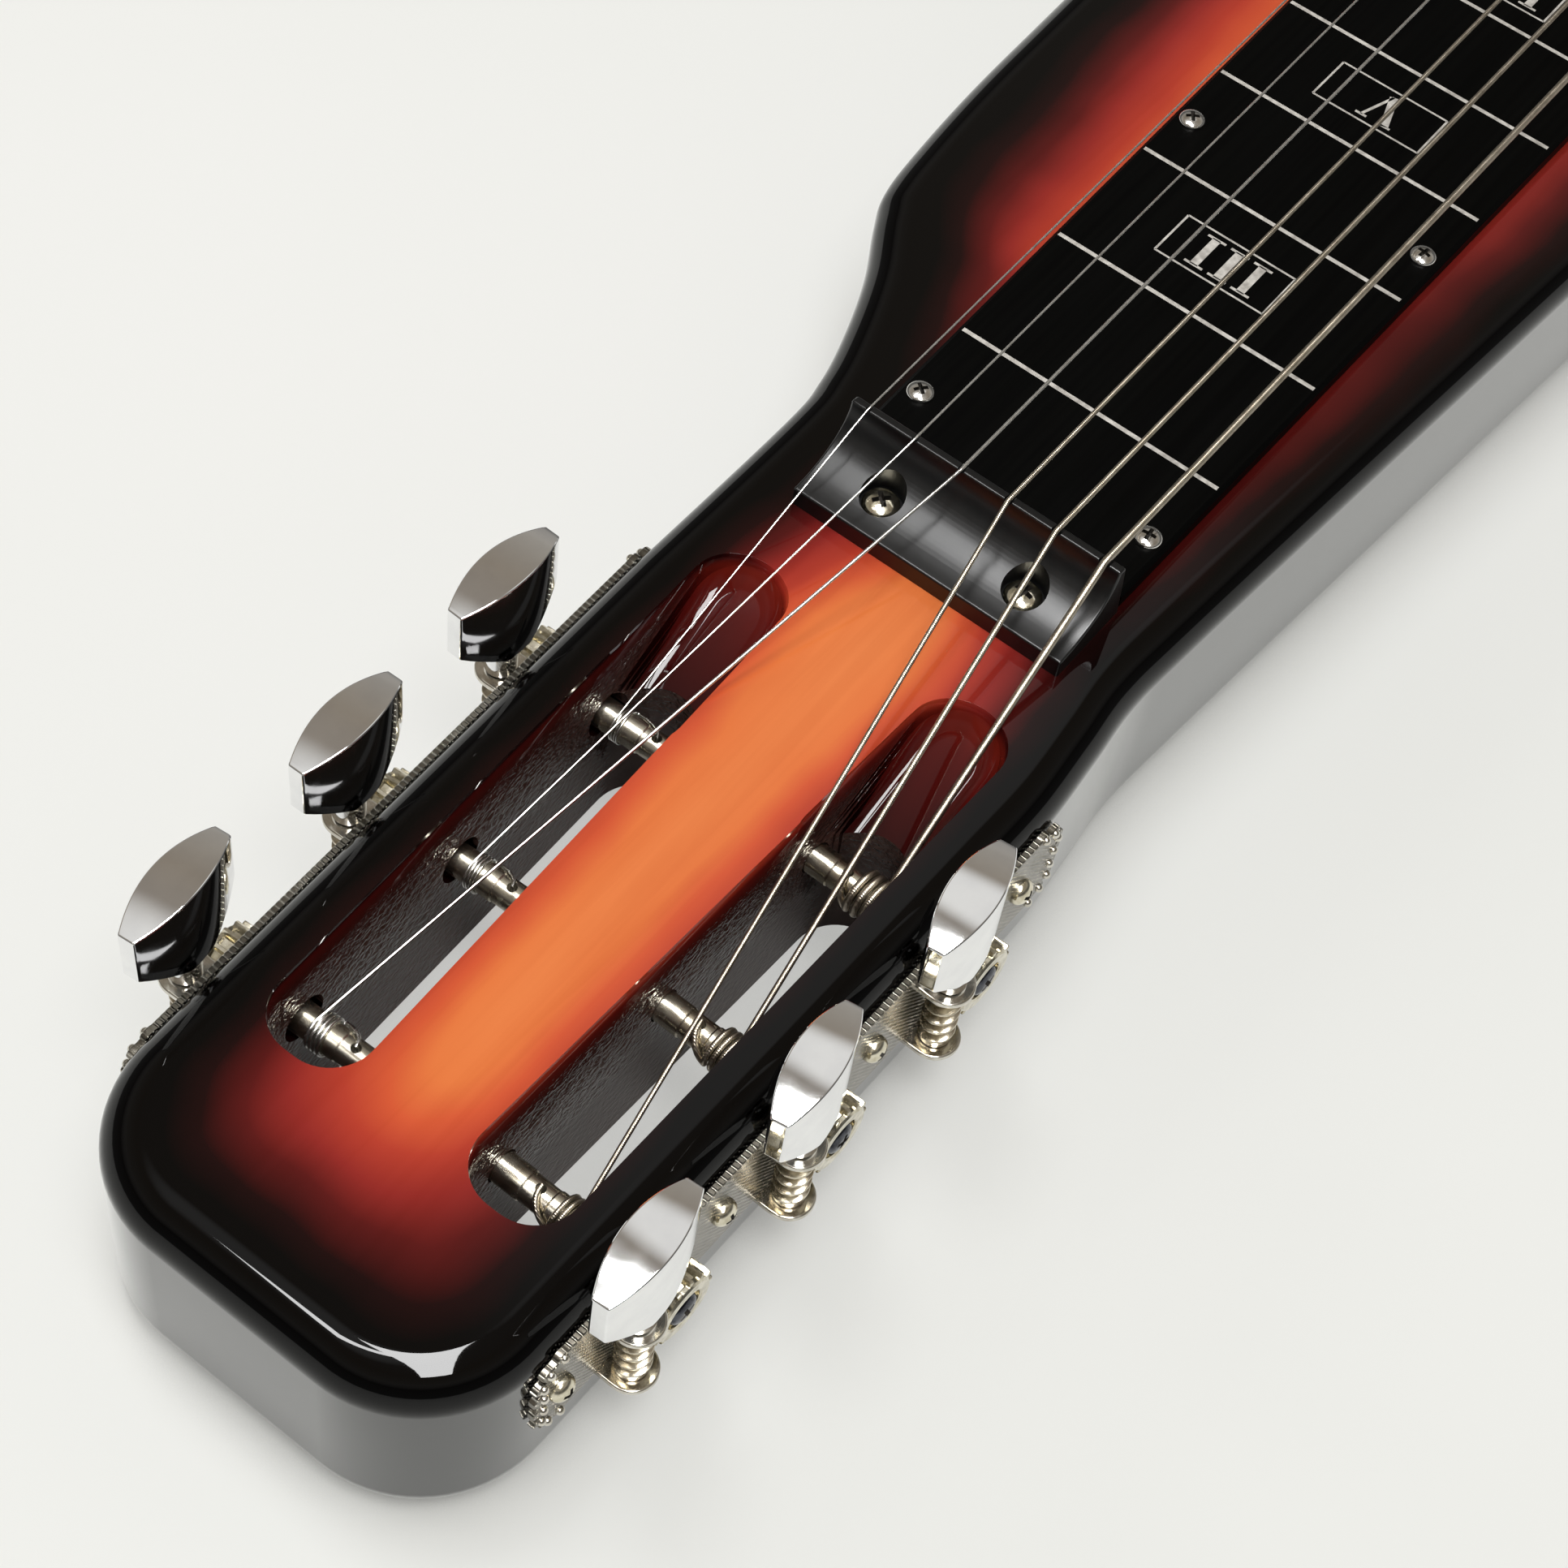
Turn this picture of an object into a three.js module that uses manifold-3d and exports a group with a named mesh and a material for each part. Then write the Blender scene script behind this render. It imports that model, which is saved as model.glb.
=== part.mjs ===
import * as THREE from 'three';
import { mergeVertices } from 'three/addons/utils/BufferGeometryUtils.js';
import Module from 'manifold-3d';

const wasm = await Module();
wasm.setup();

// Lap steel guitar, in millimetres. +X runs from the head to the tail, +Y towards the thin
// strings and +Z up. The origin is the middle of the flat back.

// Driving dimensions of the whole instrument
const body_length = 808;
const bridge_before_tail = 56.5;
const body_half_width = 84;
const body_thickness = 43;
const edge_round = 5;
const edge_steps = 2;
const board_thickness = 4;
const string_count = 6;
const nut_string_spacing = 9.55;
const bridge_string_spacing = 11.57;
const string_height_at_nut = 13.6;
const saddle_height = 17.2;
const running_gap = 0.3;
const cut_overrun = 2;
const round_sides = 16;
const small_sides = 10;

// Tuners: three on each side of the head, their axes level with each other. The head is as long
// as its row of posts, with wood past the string slots.
const tuners_per_side = 3;
const tuner_spacing = 37.2;
const first_post_before_nut = 59.8;
const slot_past_last_post = 12.3;
const slot_from_end = 33.5;
const tuner_depth = 17.3;
const worm_offset = 8.8;
const worm_stand_off = 4.9;
const post_radius = 2.8;
const post_wall_hole = 4.4;
const post_end_from_middle = 6.3;

const post_row = tuner_spacing * (tuners_per_side - 1);
const head_length = first_post_before_nut + post_row + slot_past_last_post + slot_from_end;
const tail_length = body_length - head_length;
const scale_length = tail_length - bridge_before_tail;
const nut_x = head_length - body_length / 2;
const bridge_x = nut_x + scale_length;
const deck = body_thickness;

// Nut: the outer strings keep a margin to its ends
const nut_end_margin = 3.3;
const nut_half_width = nut_string_spacing * (string_count - 1) / 2 + nut_end_margin;

// Body plan. The head's sides stand out past the nut and open a little towards it.
const neck_past_nut_end = 13.7;
const head_narrowing = 2.3;
const neck_half_width = nut_half_width + neck_past_nut_end;
const head_end_half_width = neck_half_width - head_narrowing;
const head_corner = 22.8;
const head_corner_steps = 6;
const neck_before_nut = 40;

// The thin-string side flares out at a shoulder. Shares are of its distance past the nut and of
// its step out from the neck.
const shoulder_past_nut = 61;
const shoulder_step = 20.7;
const shoulder_shares = [[0, 0], [0.2, 0.06], [0.4, 0.23], [0.62, 0.49], [0.81, 0.8], [0.93, 0.96], [1.12, 1.05]];

// The thick-string side has a shallow waist by the nut. Shares are of its length and depth.
const waist_before_nut = 50;
const waist_length = 60;
const waist_depth = 2.4;
const waist_shares = [[0, 0.1], [0.25, 0], [0.5, 0.5], [0.72, 1], [1, 0.66]];

// The flanks and the tail. Shares are of the body's half width and of the length to the tail, from
// the nut or, on the thin-string side, from the shoulder.
const thin_flank_shares = [[0.051, 0.768], [0.104, 0.783], [0.245, 0.822], [0.422, 0.884], [0.598, 0.955]];
const thick_flank_shares = [[0.096, 0.511], [0.239, 0.592], [0.366, 0.664], [0.494, 0.752], [0.589, 0.845],
  [0.685, 0.945]];
const tail_shares = [[0.75, 0.99], [0.8, 1], [0.85, 0.99], [0.905, 0.93], [0.95, 0.8], [0.98, 0.6],
  [0.995, 0.32]];
const outline_steps = 2;

// String slots on each side of the head's middle beam, with a ramp at their nut end. They begin
// where the strings that drop most steeply have come down to the deck.
const string_above_slot = 0.25;
const string_drop = string_height_at_nut + tuner_depth - post_radius;
const slot_nut_gap = first_post_before_nut * (string_height_at_nut - string_above_slot) / string_drop;
const slot_corner = 8;
const slot_corner_steps = 5;
const rail_width = 10.3;
const beam_half_width_head = 10.4;
const beam_half_width_nut = 13.8;
const ramp_length = 23;
const ramp_drop = 14;
const ramp_lip = 0.5;

// Strings, thinnest first
const string_diameters = [0.38, 0.46, 0.66, 0.91, 1.07, 1.42];
const string_sides = 5;
const winding_turns = 3;
const winding_steps = 10;
const winding_self_gap = 0.5;
const winding_from_slot_edge = 3;

// Gaps that the tuner axes and strings share
const tuner_z = deck - tuner_depth;
const head_taper = (neck_half_width - head_end_half_width) / (head_length - head_corner - neck_before_nut);
const head_turn = Math.atan(head_taper);
const middle_post_x = nut_x - first_post_before_nut - post_row / 2;

function wallHalfWidth(x) {
  return neck_half_width + (x - nut_x + neck_before_nut) * head_taper;
}

const post_end_depth = wallHalfWidth(middle_post_x) - post_end_from_middle;

const wood = new THREE.MeshStandardMaterial({ color: 0x7a2410, roughness: 0.12, metalness: 0 });
const black_plastic = new THREE.MeshStandardMaterial({ color: 0x121212, roughness: 0.45, metalness: 0 });
const nickel = new THREE.MeshStandardMaterial({ color: 0xc9c4b4, roughness: 0.25, metalness: 1 });
const chrome = new THREE.MeshStandardMaterial({ color: 0xe6e6e6, roughness: 0.06, metalness: 1 });
const steel_wire = new THREE.MeshStandardMaterial({ color: 0xd2cfc6, roughness: 0.3, metalness: 1 });
const copper = new THREE.MeshStandardMaterial({ color: 0xb06a3a, roughness: 0.4, metalness: 0.8 });
const cloth_wire = new THREE.MeshStandardMaterial({ color: 0xd8cfae, roughness: 0.8, metalness: 0 });

const guitar = new THREE.Group();

function toSolid(geometry) {
  const bare = geometry.clone();
  bare.deleteAttribute('normal');
  bare.deleteAttribute('uv');
  const merged = mergeVertices(bare);
  return new wasm.Manifold(new wasm.Mesh({
    numProp: 3,
    vertProperties: new Float32Array(merged.attributes.position.array),
    triVerts: new Uint32Array(merged.index.array),
  }));
}

function toGeometry(solid) {
  const mesh = solid.getMesh();
  const geometry = new THREE.BufferGeometry();
  geometry.setAttribute('position', new THREE.BufferAttribute(new Float32Array(mesh.vertProperties), 3));
  geometry.setIndex(new THREE.BufferAttribute(new Uint32Array(mesh.triVerts), 1));
  geometry.computeVertexNormals();
  return geometry;
}

function cutAll(base, cutters) {
  return toGeometry(cutters.reduce((solid, cutter) => solid.subtract(toSolid(cutter)), toSolid(base)));
}

function place(parent, name, geometry, material, x = 0, y = 0, z = 0) {
  const mesh = new THREE.Mesh(geometry, material);
  mesh.name = name;
  mesh.position.set(x, y, z);
  parent.add(mesh);
  return mesh;
}

// A block from its low corner to its high corner
function block(low, high) {
  const size = high.map((value, axis) => value - low[axis]);
  const geometry = new THREE.BoxGeometry(...size);
  geometry.translate(...low.map((value, axis) => value + size[axis] / 2));
  return geometry;
}

// A plan drawn in X and Y, from one height to another
function upright(points, low, high) {
  const shape = new THREE.Shape(points.map(([x, y]) => new THREE.Vector2(x, y)));
  const geometry = new THREE.ExtrudeGeometry(shape, { depth: high - low, bevelEnabled: false });
  geometry.translate(0, 0, low);
  return geometry;
}

// A side view drawn in X and Z, from one Y to another
function crosswise(points, low, high) {
  const geometry = upright(points, -high, -low);
  geometry.rotateX(Math.PI / 2);
  return geometry;
}

// A turned piece: radius and height pairs, its axis along +Z
function turned(profile, sides = round_sides) {
  return new THREE.LatheGeometry(profile.map(([radius, height]) => new THREE.Vector2(radius, height)), sides)
    .rotateX(Math.PI / 2);
}

// A drilled hole or pin with its axis along +Z
function drill(radius, low, high, sides = round_sides) {
  return turned([[0, low], [radius, low], [radius, high], [0, high]], sides);
}

// The same with its axis laid along Y, pointing to one side of the body
function alongY(geometry, side) {
  return geometry.rotateX(-side * Math.PI / 2);
}

// A round tube through chosen points, with closed ends; each point may have its own radius
function tube(points, radii, sides) {
  const positions = [];
  const indices = [];
  const normal = new THREE.Vector3();
  points.forEach((point, ring) => {
    const before = points[Math.max(ring - 1, 0)];
    const after = points[Math.min(ring + 1, points.length - 1)];
    const forward = after.clone().sub(before).normalize();
    if (ring === 0) {
      normal.set(-forward.y, forward.x, 0);
    }
    normal.addScaledVector(forward, -normal.dot(forward)).normalize();
    const across = forward.clone().cross(normal);
    const radius = Array.isArray(radii) ? radii[ring] : radii;
    for (let side = 0; side < sides; side += 1) {
      const turn = 2 * Math.PI * side / sides;
      const rim = point.clone().addScaledVector(normal, radius * Math.cos(turn))
        .addScaledVector(across, radius * Math.sin(turn));
      positions.push(rim.x, rim.y, rim.z);
    }
  });
  for (let ring = 0; ring < points.length - 1; ring += 1) {
    for (let side = 0; side < sides; side += 1) {
      const a = ring * sides + side;
      const b = ring * sides + (side + 1) % sides;
      indices.push(a, b, a + sides, b, b + sides, a + sides);
    }
  }
  const last = (points.length - 1) * sides;
  for (let side = 1; side < sides - 1; side += 1) {
    indices.push(0, side + 1, side, last, last + side, last + side + 1);
  }
  const geometry = new THREE.BufferGeometry();
  geometry.setAttribute('position', new THREE.Float32BufferAttribute(positions, 3));
  geometry.setIndex(indices);
  geometry.computeVertexNormals();
  return geometry;
}

// Body: one piece of wood with both string slots, the hardware holes and the pockets cut in
function flankPoint(side, [along, out], from = 0) {
  return new THREE.Vector2(nut_x + from + along * (tail_length - from), side * out * body_half_width);
}

function bodyOutline() {
  const shoulder = shoulder_shares.map(([along, out]) => new THREE.Vector2(
    nut_x + along * shoulder_past_nut, neck_half_width + out * shoulder_step));
  const waist = waist_shares.map(([along, out]) => new THREE.Vector2(
    nut_x - waist_before_nut + along * waist_length, -neck_half_width + out * waist_depth));
  const thin_side = [
    new THREE.Vector2(nut_x - neck_before_nut, neck_half_width),
    ...shoulder,
    ...thin_flank_shares.map((share) => flankPoint(1, share, shoulder_past_nut)),
    ...tail_shares.map((share) => flankPoint(1, share)),
  ];
  const thick_side = [
    ...waist,
    ...thick_flank_shares.map((share) => flankPoint(-1, share)),
    ...tail_shares.map((share) => flankPoint(-1, share)),
  ];
  const through = [...thin_side, new THREE.Vector2(nut_x + tail_length, 0), ...thick_side.reverse()];
  const points = new THREE.SplineCurve(through).getPoints((through.length - 1) * outline_steps);
  const corner_x = nut_x - head_length + head_corner;
  for (const side of [-1, 1]) {
    for (let step = 0; step <= head_corner_steps; step += 1) {
      const turn = Math.PI / 2 * (side < 0 ? step : head_corner_steps - step) / head_corner_steps;
      points.push(new THREE.Vector2(
        corner_x - head_corner * Math.sin(turn),
        side * (head_end_half_width - head_corner + head_corner * Math.cos(turn))));
    }
  }
  return points;
}

// The wood edge is rounded alike at the deck and at the back
function bodyBlank() {
  const geometry = new THREE.ExtrudeGeometry(new THREE.Shape(bodyOutline()), {
    depth: body_thickness - 2 * edge_round,
    bevelThickness: edge_round,
    bevelSize: edge_round,
    bevelOffset: -edge_round,
    bevelSegments: edge_steps,
  });
  geometry.translate(0, 0, edge_round);
  return geometry;
}

// Slot plan: square end with rounded corners at the head, full round at the nut
function slotCutter(side) {
  const head_x = nut_x - head_length + slot_from_end;
  const nut_end_x = nut_x - slot_nut_gap;
  const outer = (x) => wallHalfWidth(x) - rail_width;
  const inner = (x) => beam_half_width_head
    + (beam_half_width_nut - beam_half_width_head) * (x - head_x) / (nut_end_x - head_x);
  const nut_round = (outer(nut_end_x) - inner(nut_end_x)) / 2;
  const round_x = nut_end_x - nut_round;
  const round_y = (outer(round_x) + inner(round_x)) / 2;
  const points = [];
  for (let step = 0; step <= slot_corner_steps; step += 1) {
    const turn = Math.PI / 2 * step / slot_corner_steps;
    points.push([
      head_x + slot_corner * (1 - Math.sin(turn)),
      outer(head_x) - slot_corner * (1 - Math.cos(turn)),
    ]);
  }
  for (let step = slot_corner_steps; step >= 0; step -= 1) {
    const turn = Math.PI / 2 * step / slot_corner_steps;
    points.push([
      head_x + slot_corner * (1 - Math.sin(turn)),
      inner(head_x) + slot_corner * (1 - Math.cos(turn)),
    ]);
  }
  for (let step = 0; step <= 2 * slot_corner_steps; step += 1) {
    const turn = Math.PI * (step / (2 * slot_corner_steps) - 0.5);
    points.push([round_x + nut_round * Math.cos(turn), round_y + nut_round * Math.sin(turn)]);
  }
  const plan = upright(points.map(([x, y]) => [x, side * y]), -cut_overrun, deck + cut_overrun);
  const ramp = crosswise([
    [nut_end_x - ramp_length, -2 * cut_overrun],
    [nut_end_x - ramp_length, deck - ramp_drop],
    [nut_end_x, deck - ramp_lip],
    [nut_x, deck - ramp_lip],
    [nut_x, -2 * cut_overrun],
  ], -body_half_width, body_half_width);
  return toSolid(plan).subtract(toSolid(ramp));
}

// A frame on one wall of the head: X along the wall, the wall itself at Y = 0
function wallFrame(side) {
  const frame = new THREE.Group();
  frame.position.set(middle_post_x, side * wallHalfWidth(middle_post_x), tuner_z);
  frame.rotation.z = side * head_turn;
  frame.updateMatrix();
  return frame;
}

function postOffsets() {
  return Array.from({ length: tuners_per_side }, (_, row) => row * tuner_spacing - post_row / 2);
}

function postCutters(side) {
  const frame = wallFrame(side);
  return postOffsets().flatMap((offset) => {
    const wall = alongY(drill(post_wall_hole, -rail_width - cut_overrun, cut_overrun, small_sides), side);
    const beam = alongY(drill(post_radius + running_gap, -post_end_depth, -rail_width, small_sides), side);
    return [wall, beam].map((hole) => hole.translate(offset, 0, 0).applyMatrix4(frame.matrix));
  });
}

// Pickup: a covered single coil in a pocket under the strings, near the bridge
const pickup_before_bridge = 52;
const pickup_length = 78;
const pickup_width = 26;
const pickup_rise = 9;
const pickup_wall = 0.8;
const pickup_end_steps = 8;
const pickup_pocket_depth = 16;
const coil_margin = 2;
const coil_height = 12;
const magnet_width = 5;
const magnet_height = 3;

// Fretboard: a flat plate behind the nut, a little wider towards the bridge, ending short of the
// pickup
const board_inset = 0.2;
const board_widening = 8;
const board_chamfer = 0.8;
const board_before_pickup = 54;
const nut_back = 2.2;
const board_half_width_nut = nut_half_width - board_inset;
const board_half_width_end = board_half_width_nut + board_widening;
const board_start = nut_x + nut_back + running_gap;
const board_end = bridge_x - pickup_before_bridge - pickup_width / 2 - board_before_pickup;

// Control plate on the thick-string side, with two controls and the output socket in a row. The
// share is of the free deck between pickup and side, and lies before the plate.
const plate_length = 128;
const plate_thickness = 1.2;
const plate_corner = 4;
const plate_corner_steps = 3;
const plate_before_bridge = 76;
const plate_place_share = 0.36;
const control_spacing = 38;
const pocket_inset = 4;
const pocket_depth = 30;
const pot_room = 1.5;
const pot_radius = 8;
const pot_height = 9;
const bushing_radius = 3.9;
const bushing_rise = 2;
const shaft_radius = 3;
const shaft_rise = 12;
const shaft_in_case = 6;
const jack_bore = 3.3;
const jack_wall = 1;
const jack_depth = 22;
const jack_collar = 5.8;
const jack_collar_rise = 2;
const lead_radius = 1.2;
const lead_clearance = 1.5;
const lead_sag = 4;

const pickup_x = bridge_x - pickup_before_bridge;
const plate_x = bridge_x - plate_before_bridge;
const plate_width = 2 * (pot_radius + pot_room + pocket_inset);
const free_deck = body_half_width - pickup_length / 2 - plate_width;
const plate_y = -(pickup_length / 2 + free_deck * plate_place_share + plate_width / 2);
const pocket_floor = deck - pocket_depth;
const pickup_floor = deck - pickup_pocket_depth;
const control_x = [-1, 0, 1].map((place_in_row) => plate_x + place_in_row * control_spacing);
const channel_half = lead_radius + lead_clearance;

function pocketCutters() {
  const pickup_pocket = block(
    [pickup_x - pickup_width / 2 - running_gap, -pickup_length / 2 - running_gap, pickup_floor],
    [pickup_x + pickup_width / 2 + running_gap, pickup_length / 2 + running_gap, deck + cut_overrun]);
  const control_pocket = block(
    [plate_x - plate_length / 2 + pocket_inset, plate_y - plate_width / 2 + pocket_inset, pocket_floor],
    [
      plate_x + plate_length / 2 - pocket_inset,
      plate_y + plate_width / 2 - pocket_inset,
      deck + cut_overrun,
    ]);
  const channel = block(
    [pickup_x - channel_half, plate_y, pickup_floor],
    [pickup_x + channel_half, -pickup_length / 2 + cut_overrun, pickup_floor + 2 * channel_half]);
  return [pickup_pocket, control_pocket, channel];
}

function makeBody() {
  const cutters = [...pocketCutters(), ...postCutters(1), ...postCutters(-1)];
  const drilled = toSolid(cutAll(bodyBlank(), cutters));
  const slotted = [1, -1].reduce((solid, side) => solid.subtract(slotCutter(side)), drilled);
  place(guitar, 'body', toGeometry(slotted), wood);
}

makeBody();

// Fretboard
function makeFretboard() {
  const plan = [
    [board_start + board_chamfer, board_half_width_nut - board_chamfer],
    [board_start + board_chamfer, -board_half_width_nut + board_chamfer],
    [board_end - board_chamfer, -board_half_width_end + board_chamfer],
    [board_end - board_chamfer, board_half_width_end - board_chamfer],
  ];
  const geometry = new THREE.ExtrudeGeometry(new THREE.Shape(plan.map(([x, y]) => new THREE.Vector2(x, y))), {
    depth: board_thickness - 2 * board_chamfer,
    bevelThickness: board_chamfer,
    bevelSize: board_chamfer,
    bevelSegments: 1,
  });
  place(guitar, 'fretboard', geometry, black_plastic, 0, 0, deck + board_chamfer);
}

makeFretboard();

// Nut: a moulded block whose top sweeps up to a ridge, with a groove for each string
const nut_front = 15.8;
const nut_front_height = 3.8;
const nut_ridge_width = 1.6;
const nut_sweep_steps = 6;
const nut_screw_before_ridge = 8.2;
const nut_screw_from_middle = 14.5;
const screw_head_radius = 3.5;
const screw_head_height = 1.6;
const head_crown_share = 0.8;
const screw_shank_radius = 1.6;
const counterbore_radius = 4;
const counterbore_floor = 2.2;

function stringY(index, spacing) {
  return ((string_count - 1) / 2 - index) * spacing;
}

function nutProfile() {
  const sweep = [];
  for (let step = 0; step <= nut_sweep_steps; step += 1) {
    const turn = Math.PI / 2 * step / nut_sweep_steps;
    sweep.push([
      -nut_front + (nut_front - nut_ridge_width) * Math.sin(turn),
      string_height_at_nut - (string_height_at_nut - nut_front_height) * Math.cos(turn),
    ]);
  }
  return [[-nut_front, 0], ...sweep, [nut_ridge_width, string_height_at_nut], [nut_back, 0]]
    .map(([x, z]) => [nut_x + x, deck + z]);
}

function makeNut() {
  const grooves = string_diameters.map((diameter, index) => {
    const half = diameter / 2 + running_gap;
    const y = stringY(index, nut_string_spacing);
    const floor = deck + string_height_at_nut - half;
    return block([nut_x - nut_front / 2, y - half, floor],
      [nut_x + nut_back + cut_overrun, y + half, floor + 2 * half + cut_overrun]);
  });
  const screw_x = nut_x - nut_screw_before_ridge;
  const holes = [1, -1].flatMap((side) => [
    drill(counterbore_radius, deck + counterbore_floor, deck + string_height_at_nut),
    drill(screw_shank_radius + running_gap, deck - cut_overrun, deck + string_height_at_nut),
  ].map((hole) => hole.translate(screw_x, side * nut_screw_from_middle, 0)));
  const base = crosswise(nutProfile(), -nut_half_width, nut_half_width);
  place(guitar, 'nut', cutAll(base, [...grooves, ...holes]), black_plastic);
  [1, -1].forEach((side) => {
    const seat = counterbore_floor + running_gap;
    const screw = turned([
      [0, running_gap], [screw_shank_radius, running_gap], [screw_shank_radius, seat],
      [screw_head_radius, seat], [screw_head_radius * head_crown_share, seat + screw_head_height],
      [0, seat + screw_head_height],
    ]);
    const name = side > 0 ? 'nut_screw_thin_side' : 'nut_screw_thick_side';
    place(guitar, name, screw, nickel, screw_x, side * nut_screw_from_middle, deck);
  });
}

makeNut();

// Tuner plate: a thin nickel strip on each wall of the head, with scalloped ends and a pair of
// half-round ears bent out for each worm
const tuner_plate_height = 20.5;
const tuner_plate_rise = 1.7;
const tuner_plate_thickness = 1.2;
const tuner_plate_overhang = 27;
const scallop_count = 3;
const scallop_steps = 4;
const ear_spacing = 16.6;
const ear_radius = 4.3;
const ear_thickness = 1.2;
const ear_steps = 6;

// Worm: a shaft through both ears with a screw thread between them
const gear_teeth = 14;
const gear_tip_radius = 6.8;
const gear_root_radius = 5.3;
const gear_thickness = 3.8;
const tooth_tip_share = 0.24;
const tooth_root_share = 0.5;
const tooth_contact_share = 1 / 3;
const worm_radius = 3;
const worm_root_radius = 1.75;
const worm_shaft_radius = 1.5;
const worm_sides = 9;
const worm_rows_per_thread = 5;
const thread_gap_share = 0.29;
const thread_crest_share = 0.4;
const worm_top = 12.5;

// Button: a flat-ended lens in plan, tapered under its ends to a round stem
const button_top = 35;
const button_length = 22.8;
const button_end_width = 2.9;
const button_width = 8.2;
const button_side_height = 12;
const button_taper_height = 6.5;
const button_crown = 0.7;
const button_steps = 6;
const stem_radius = 2.75;
const button_turns_deg = [-3, 0, 5, 5, 10, 8];

// Post: a turned shaft that carries the gear outside the plate and the string inside the slot
const post_collar_radius = 4.2;
const spigot_radius = 1.9;
const spigot_length_share = 0.8;
const string_hole_radius = 0.9;
const gear_screw_head_radius = 2.9;
const gear_screw_head_height = 1.4;
const gear_screw_shank_radius = 1;

const gear_contact_radius = worm_offset - worm_radius + (gear_tip_radius - gear_root_radius) * tooth_contact_share;
const worm_pitch = 2 * Math.PI * gear_contact_radius / gear_teeth;

function tunerPlateOutline() {
  const half_length = post_row / 2 + tuner_plate_overhang;
  const bite = tuner_plate_height / (2 * scallop_count);
  const points = [];
  for (const end of [1, -1]) {
    for (let scallop = 0; scallop < scallop_count; scallop += 1) {
      const level = end * (tuner_plate_height / 2 - bite * (2 * scallop + 1));
      for (let step = 0; step < scallop_steps; step += 1) {
        const turn = Math.PI * (0.5 - step / scallop_steps);
        points.push([
          end * (half_length - bite + bite * Math.cos(turn)),
          tuner_plate_rise + level + end * bite * Math.sin(turn),
        ]);
      }
    }
    points.push([end * (half_length - bite), tuner_plate_rise - end * tuner_plate_height / 2]);
  }
  return points;
}

function wormX(offset) {
  return offset - worm_offset;
}

function makeTunerPlate(frame, side, name) {
  const outer_face = running_gap + tuner_plate_thickness;
  const strip = crosswise(tunerPlateOutline(), running_gap, outer_face);
  let solid = toSolid(strip);
  for (const offset of postOffsets()) {
    for (const level of [1, -1]) {
      const points = [[ear_radius, running_gap], [-ear_radius, running_gap]];
      for (let step = 0; step <= ear_steps; step += 1) {
        const turn = Math.PI * (1 - step / ear_steps);
        points.push([ear_radius * Math.cos(turn), worm_stand_off + ear_radius * Math.sin(turn)]);
      }
      const low = level * ear_spacing / 2 - ear_thickness / 2;
      const ear = upright(points, low, low + ear_thickness).translate(wormX(offset), 0, 0);
      const hole = drill(
        worm_shaft_radius + running_gap,
        low - cut_overrun,
        low + ear_thickness + cut_overrun,
        small_sides,
      ).translate(wormX(offset), worm_stand_off, 0);
      solid = solid.add(toSolid(ear)).subtract(toSolid(hole));
    }
    const post_hole = drill(post_radius + running_gap, -cut_overrun, outer_face + cut_overrun, small_sides);
    solid = solid.subtract(toSolid(alongY(post_hole, 1).translate(offset, 0, 0)));
  }
  const geometry = toGeometry(solid);
  place(frame, name, side > 0 ? geometry : mirrored(geometry), nickel);
}

// The other hand of a piece drawn for the thin-string side
function mirrored(geometry) {
  const flipped = geometry.clone().scale(1, -1, 1);
  const corners = flipped.index.array;
  for (let corner = 0; corner < corners.length; corner += 3) {
    [corners[corner], corners[corner + 1]] = [corners[corner + 1], corners[corner]];
  }
  flipped.computeVertexNormals();
  return flipped;
}

// The thread is a right-hand helix with a gap level with the gear's axis on the gear's side
function wormRadius(turn, height) {
  const phase = height / worm_pitch - turn / (2 * Math.PI);
  const from_gap = Math.abs(phase - Math.round(phase));
  const climb = (from_gap - thread_gap_share) / (thread_crest_share - thread_gap_share);
  return worm_root_radius + (worm_radius - worm_root_radius) * Math.min(Math.max(climb, 0), 1);
}

function wormGeometry() {
  const half = ear_spacing / 2 - ear_thickness / 2 - running_gap;
  const rows = Math.round(2 * half / worm_pitch * worm_rows_per_thread);
  const thread = new THREE.CylinderGeometry(worm_radius, worm_radius, 2 * half, worm_sides, rows);
  thread.rotateX(Math.PI / 2);
  const rim = thread.attributes.position;
  for (let index = 0; index < rim.count; index += 1) {
    const x = rim.getX(index);
    const y = rim.getY(index);
    const z = rim.getZ(index);
    const out = Math.hypot(x, y);
    if (out > worm_radius / 2) {
      const share = wormRadius(Math.atan2(y, x), z) / out;
      rim.setXY(index, x * share, y * share);
    }
  }
  const shaft_end = ear_spacing / 2 + ear_thickness;
  const shaft = drill(worm_shaft_radius, -shaft_end, worm_top, small_sides);
  return toGeometry(toSolid(thread).add(toSolid(shaft)));
}

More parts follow.
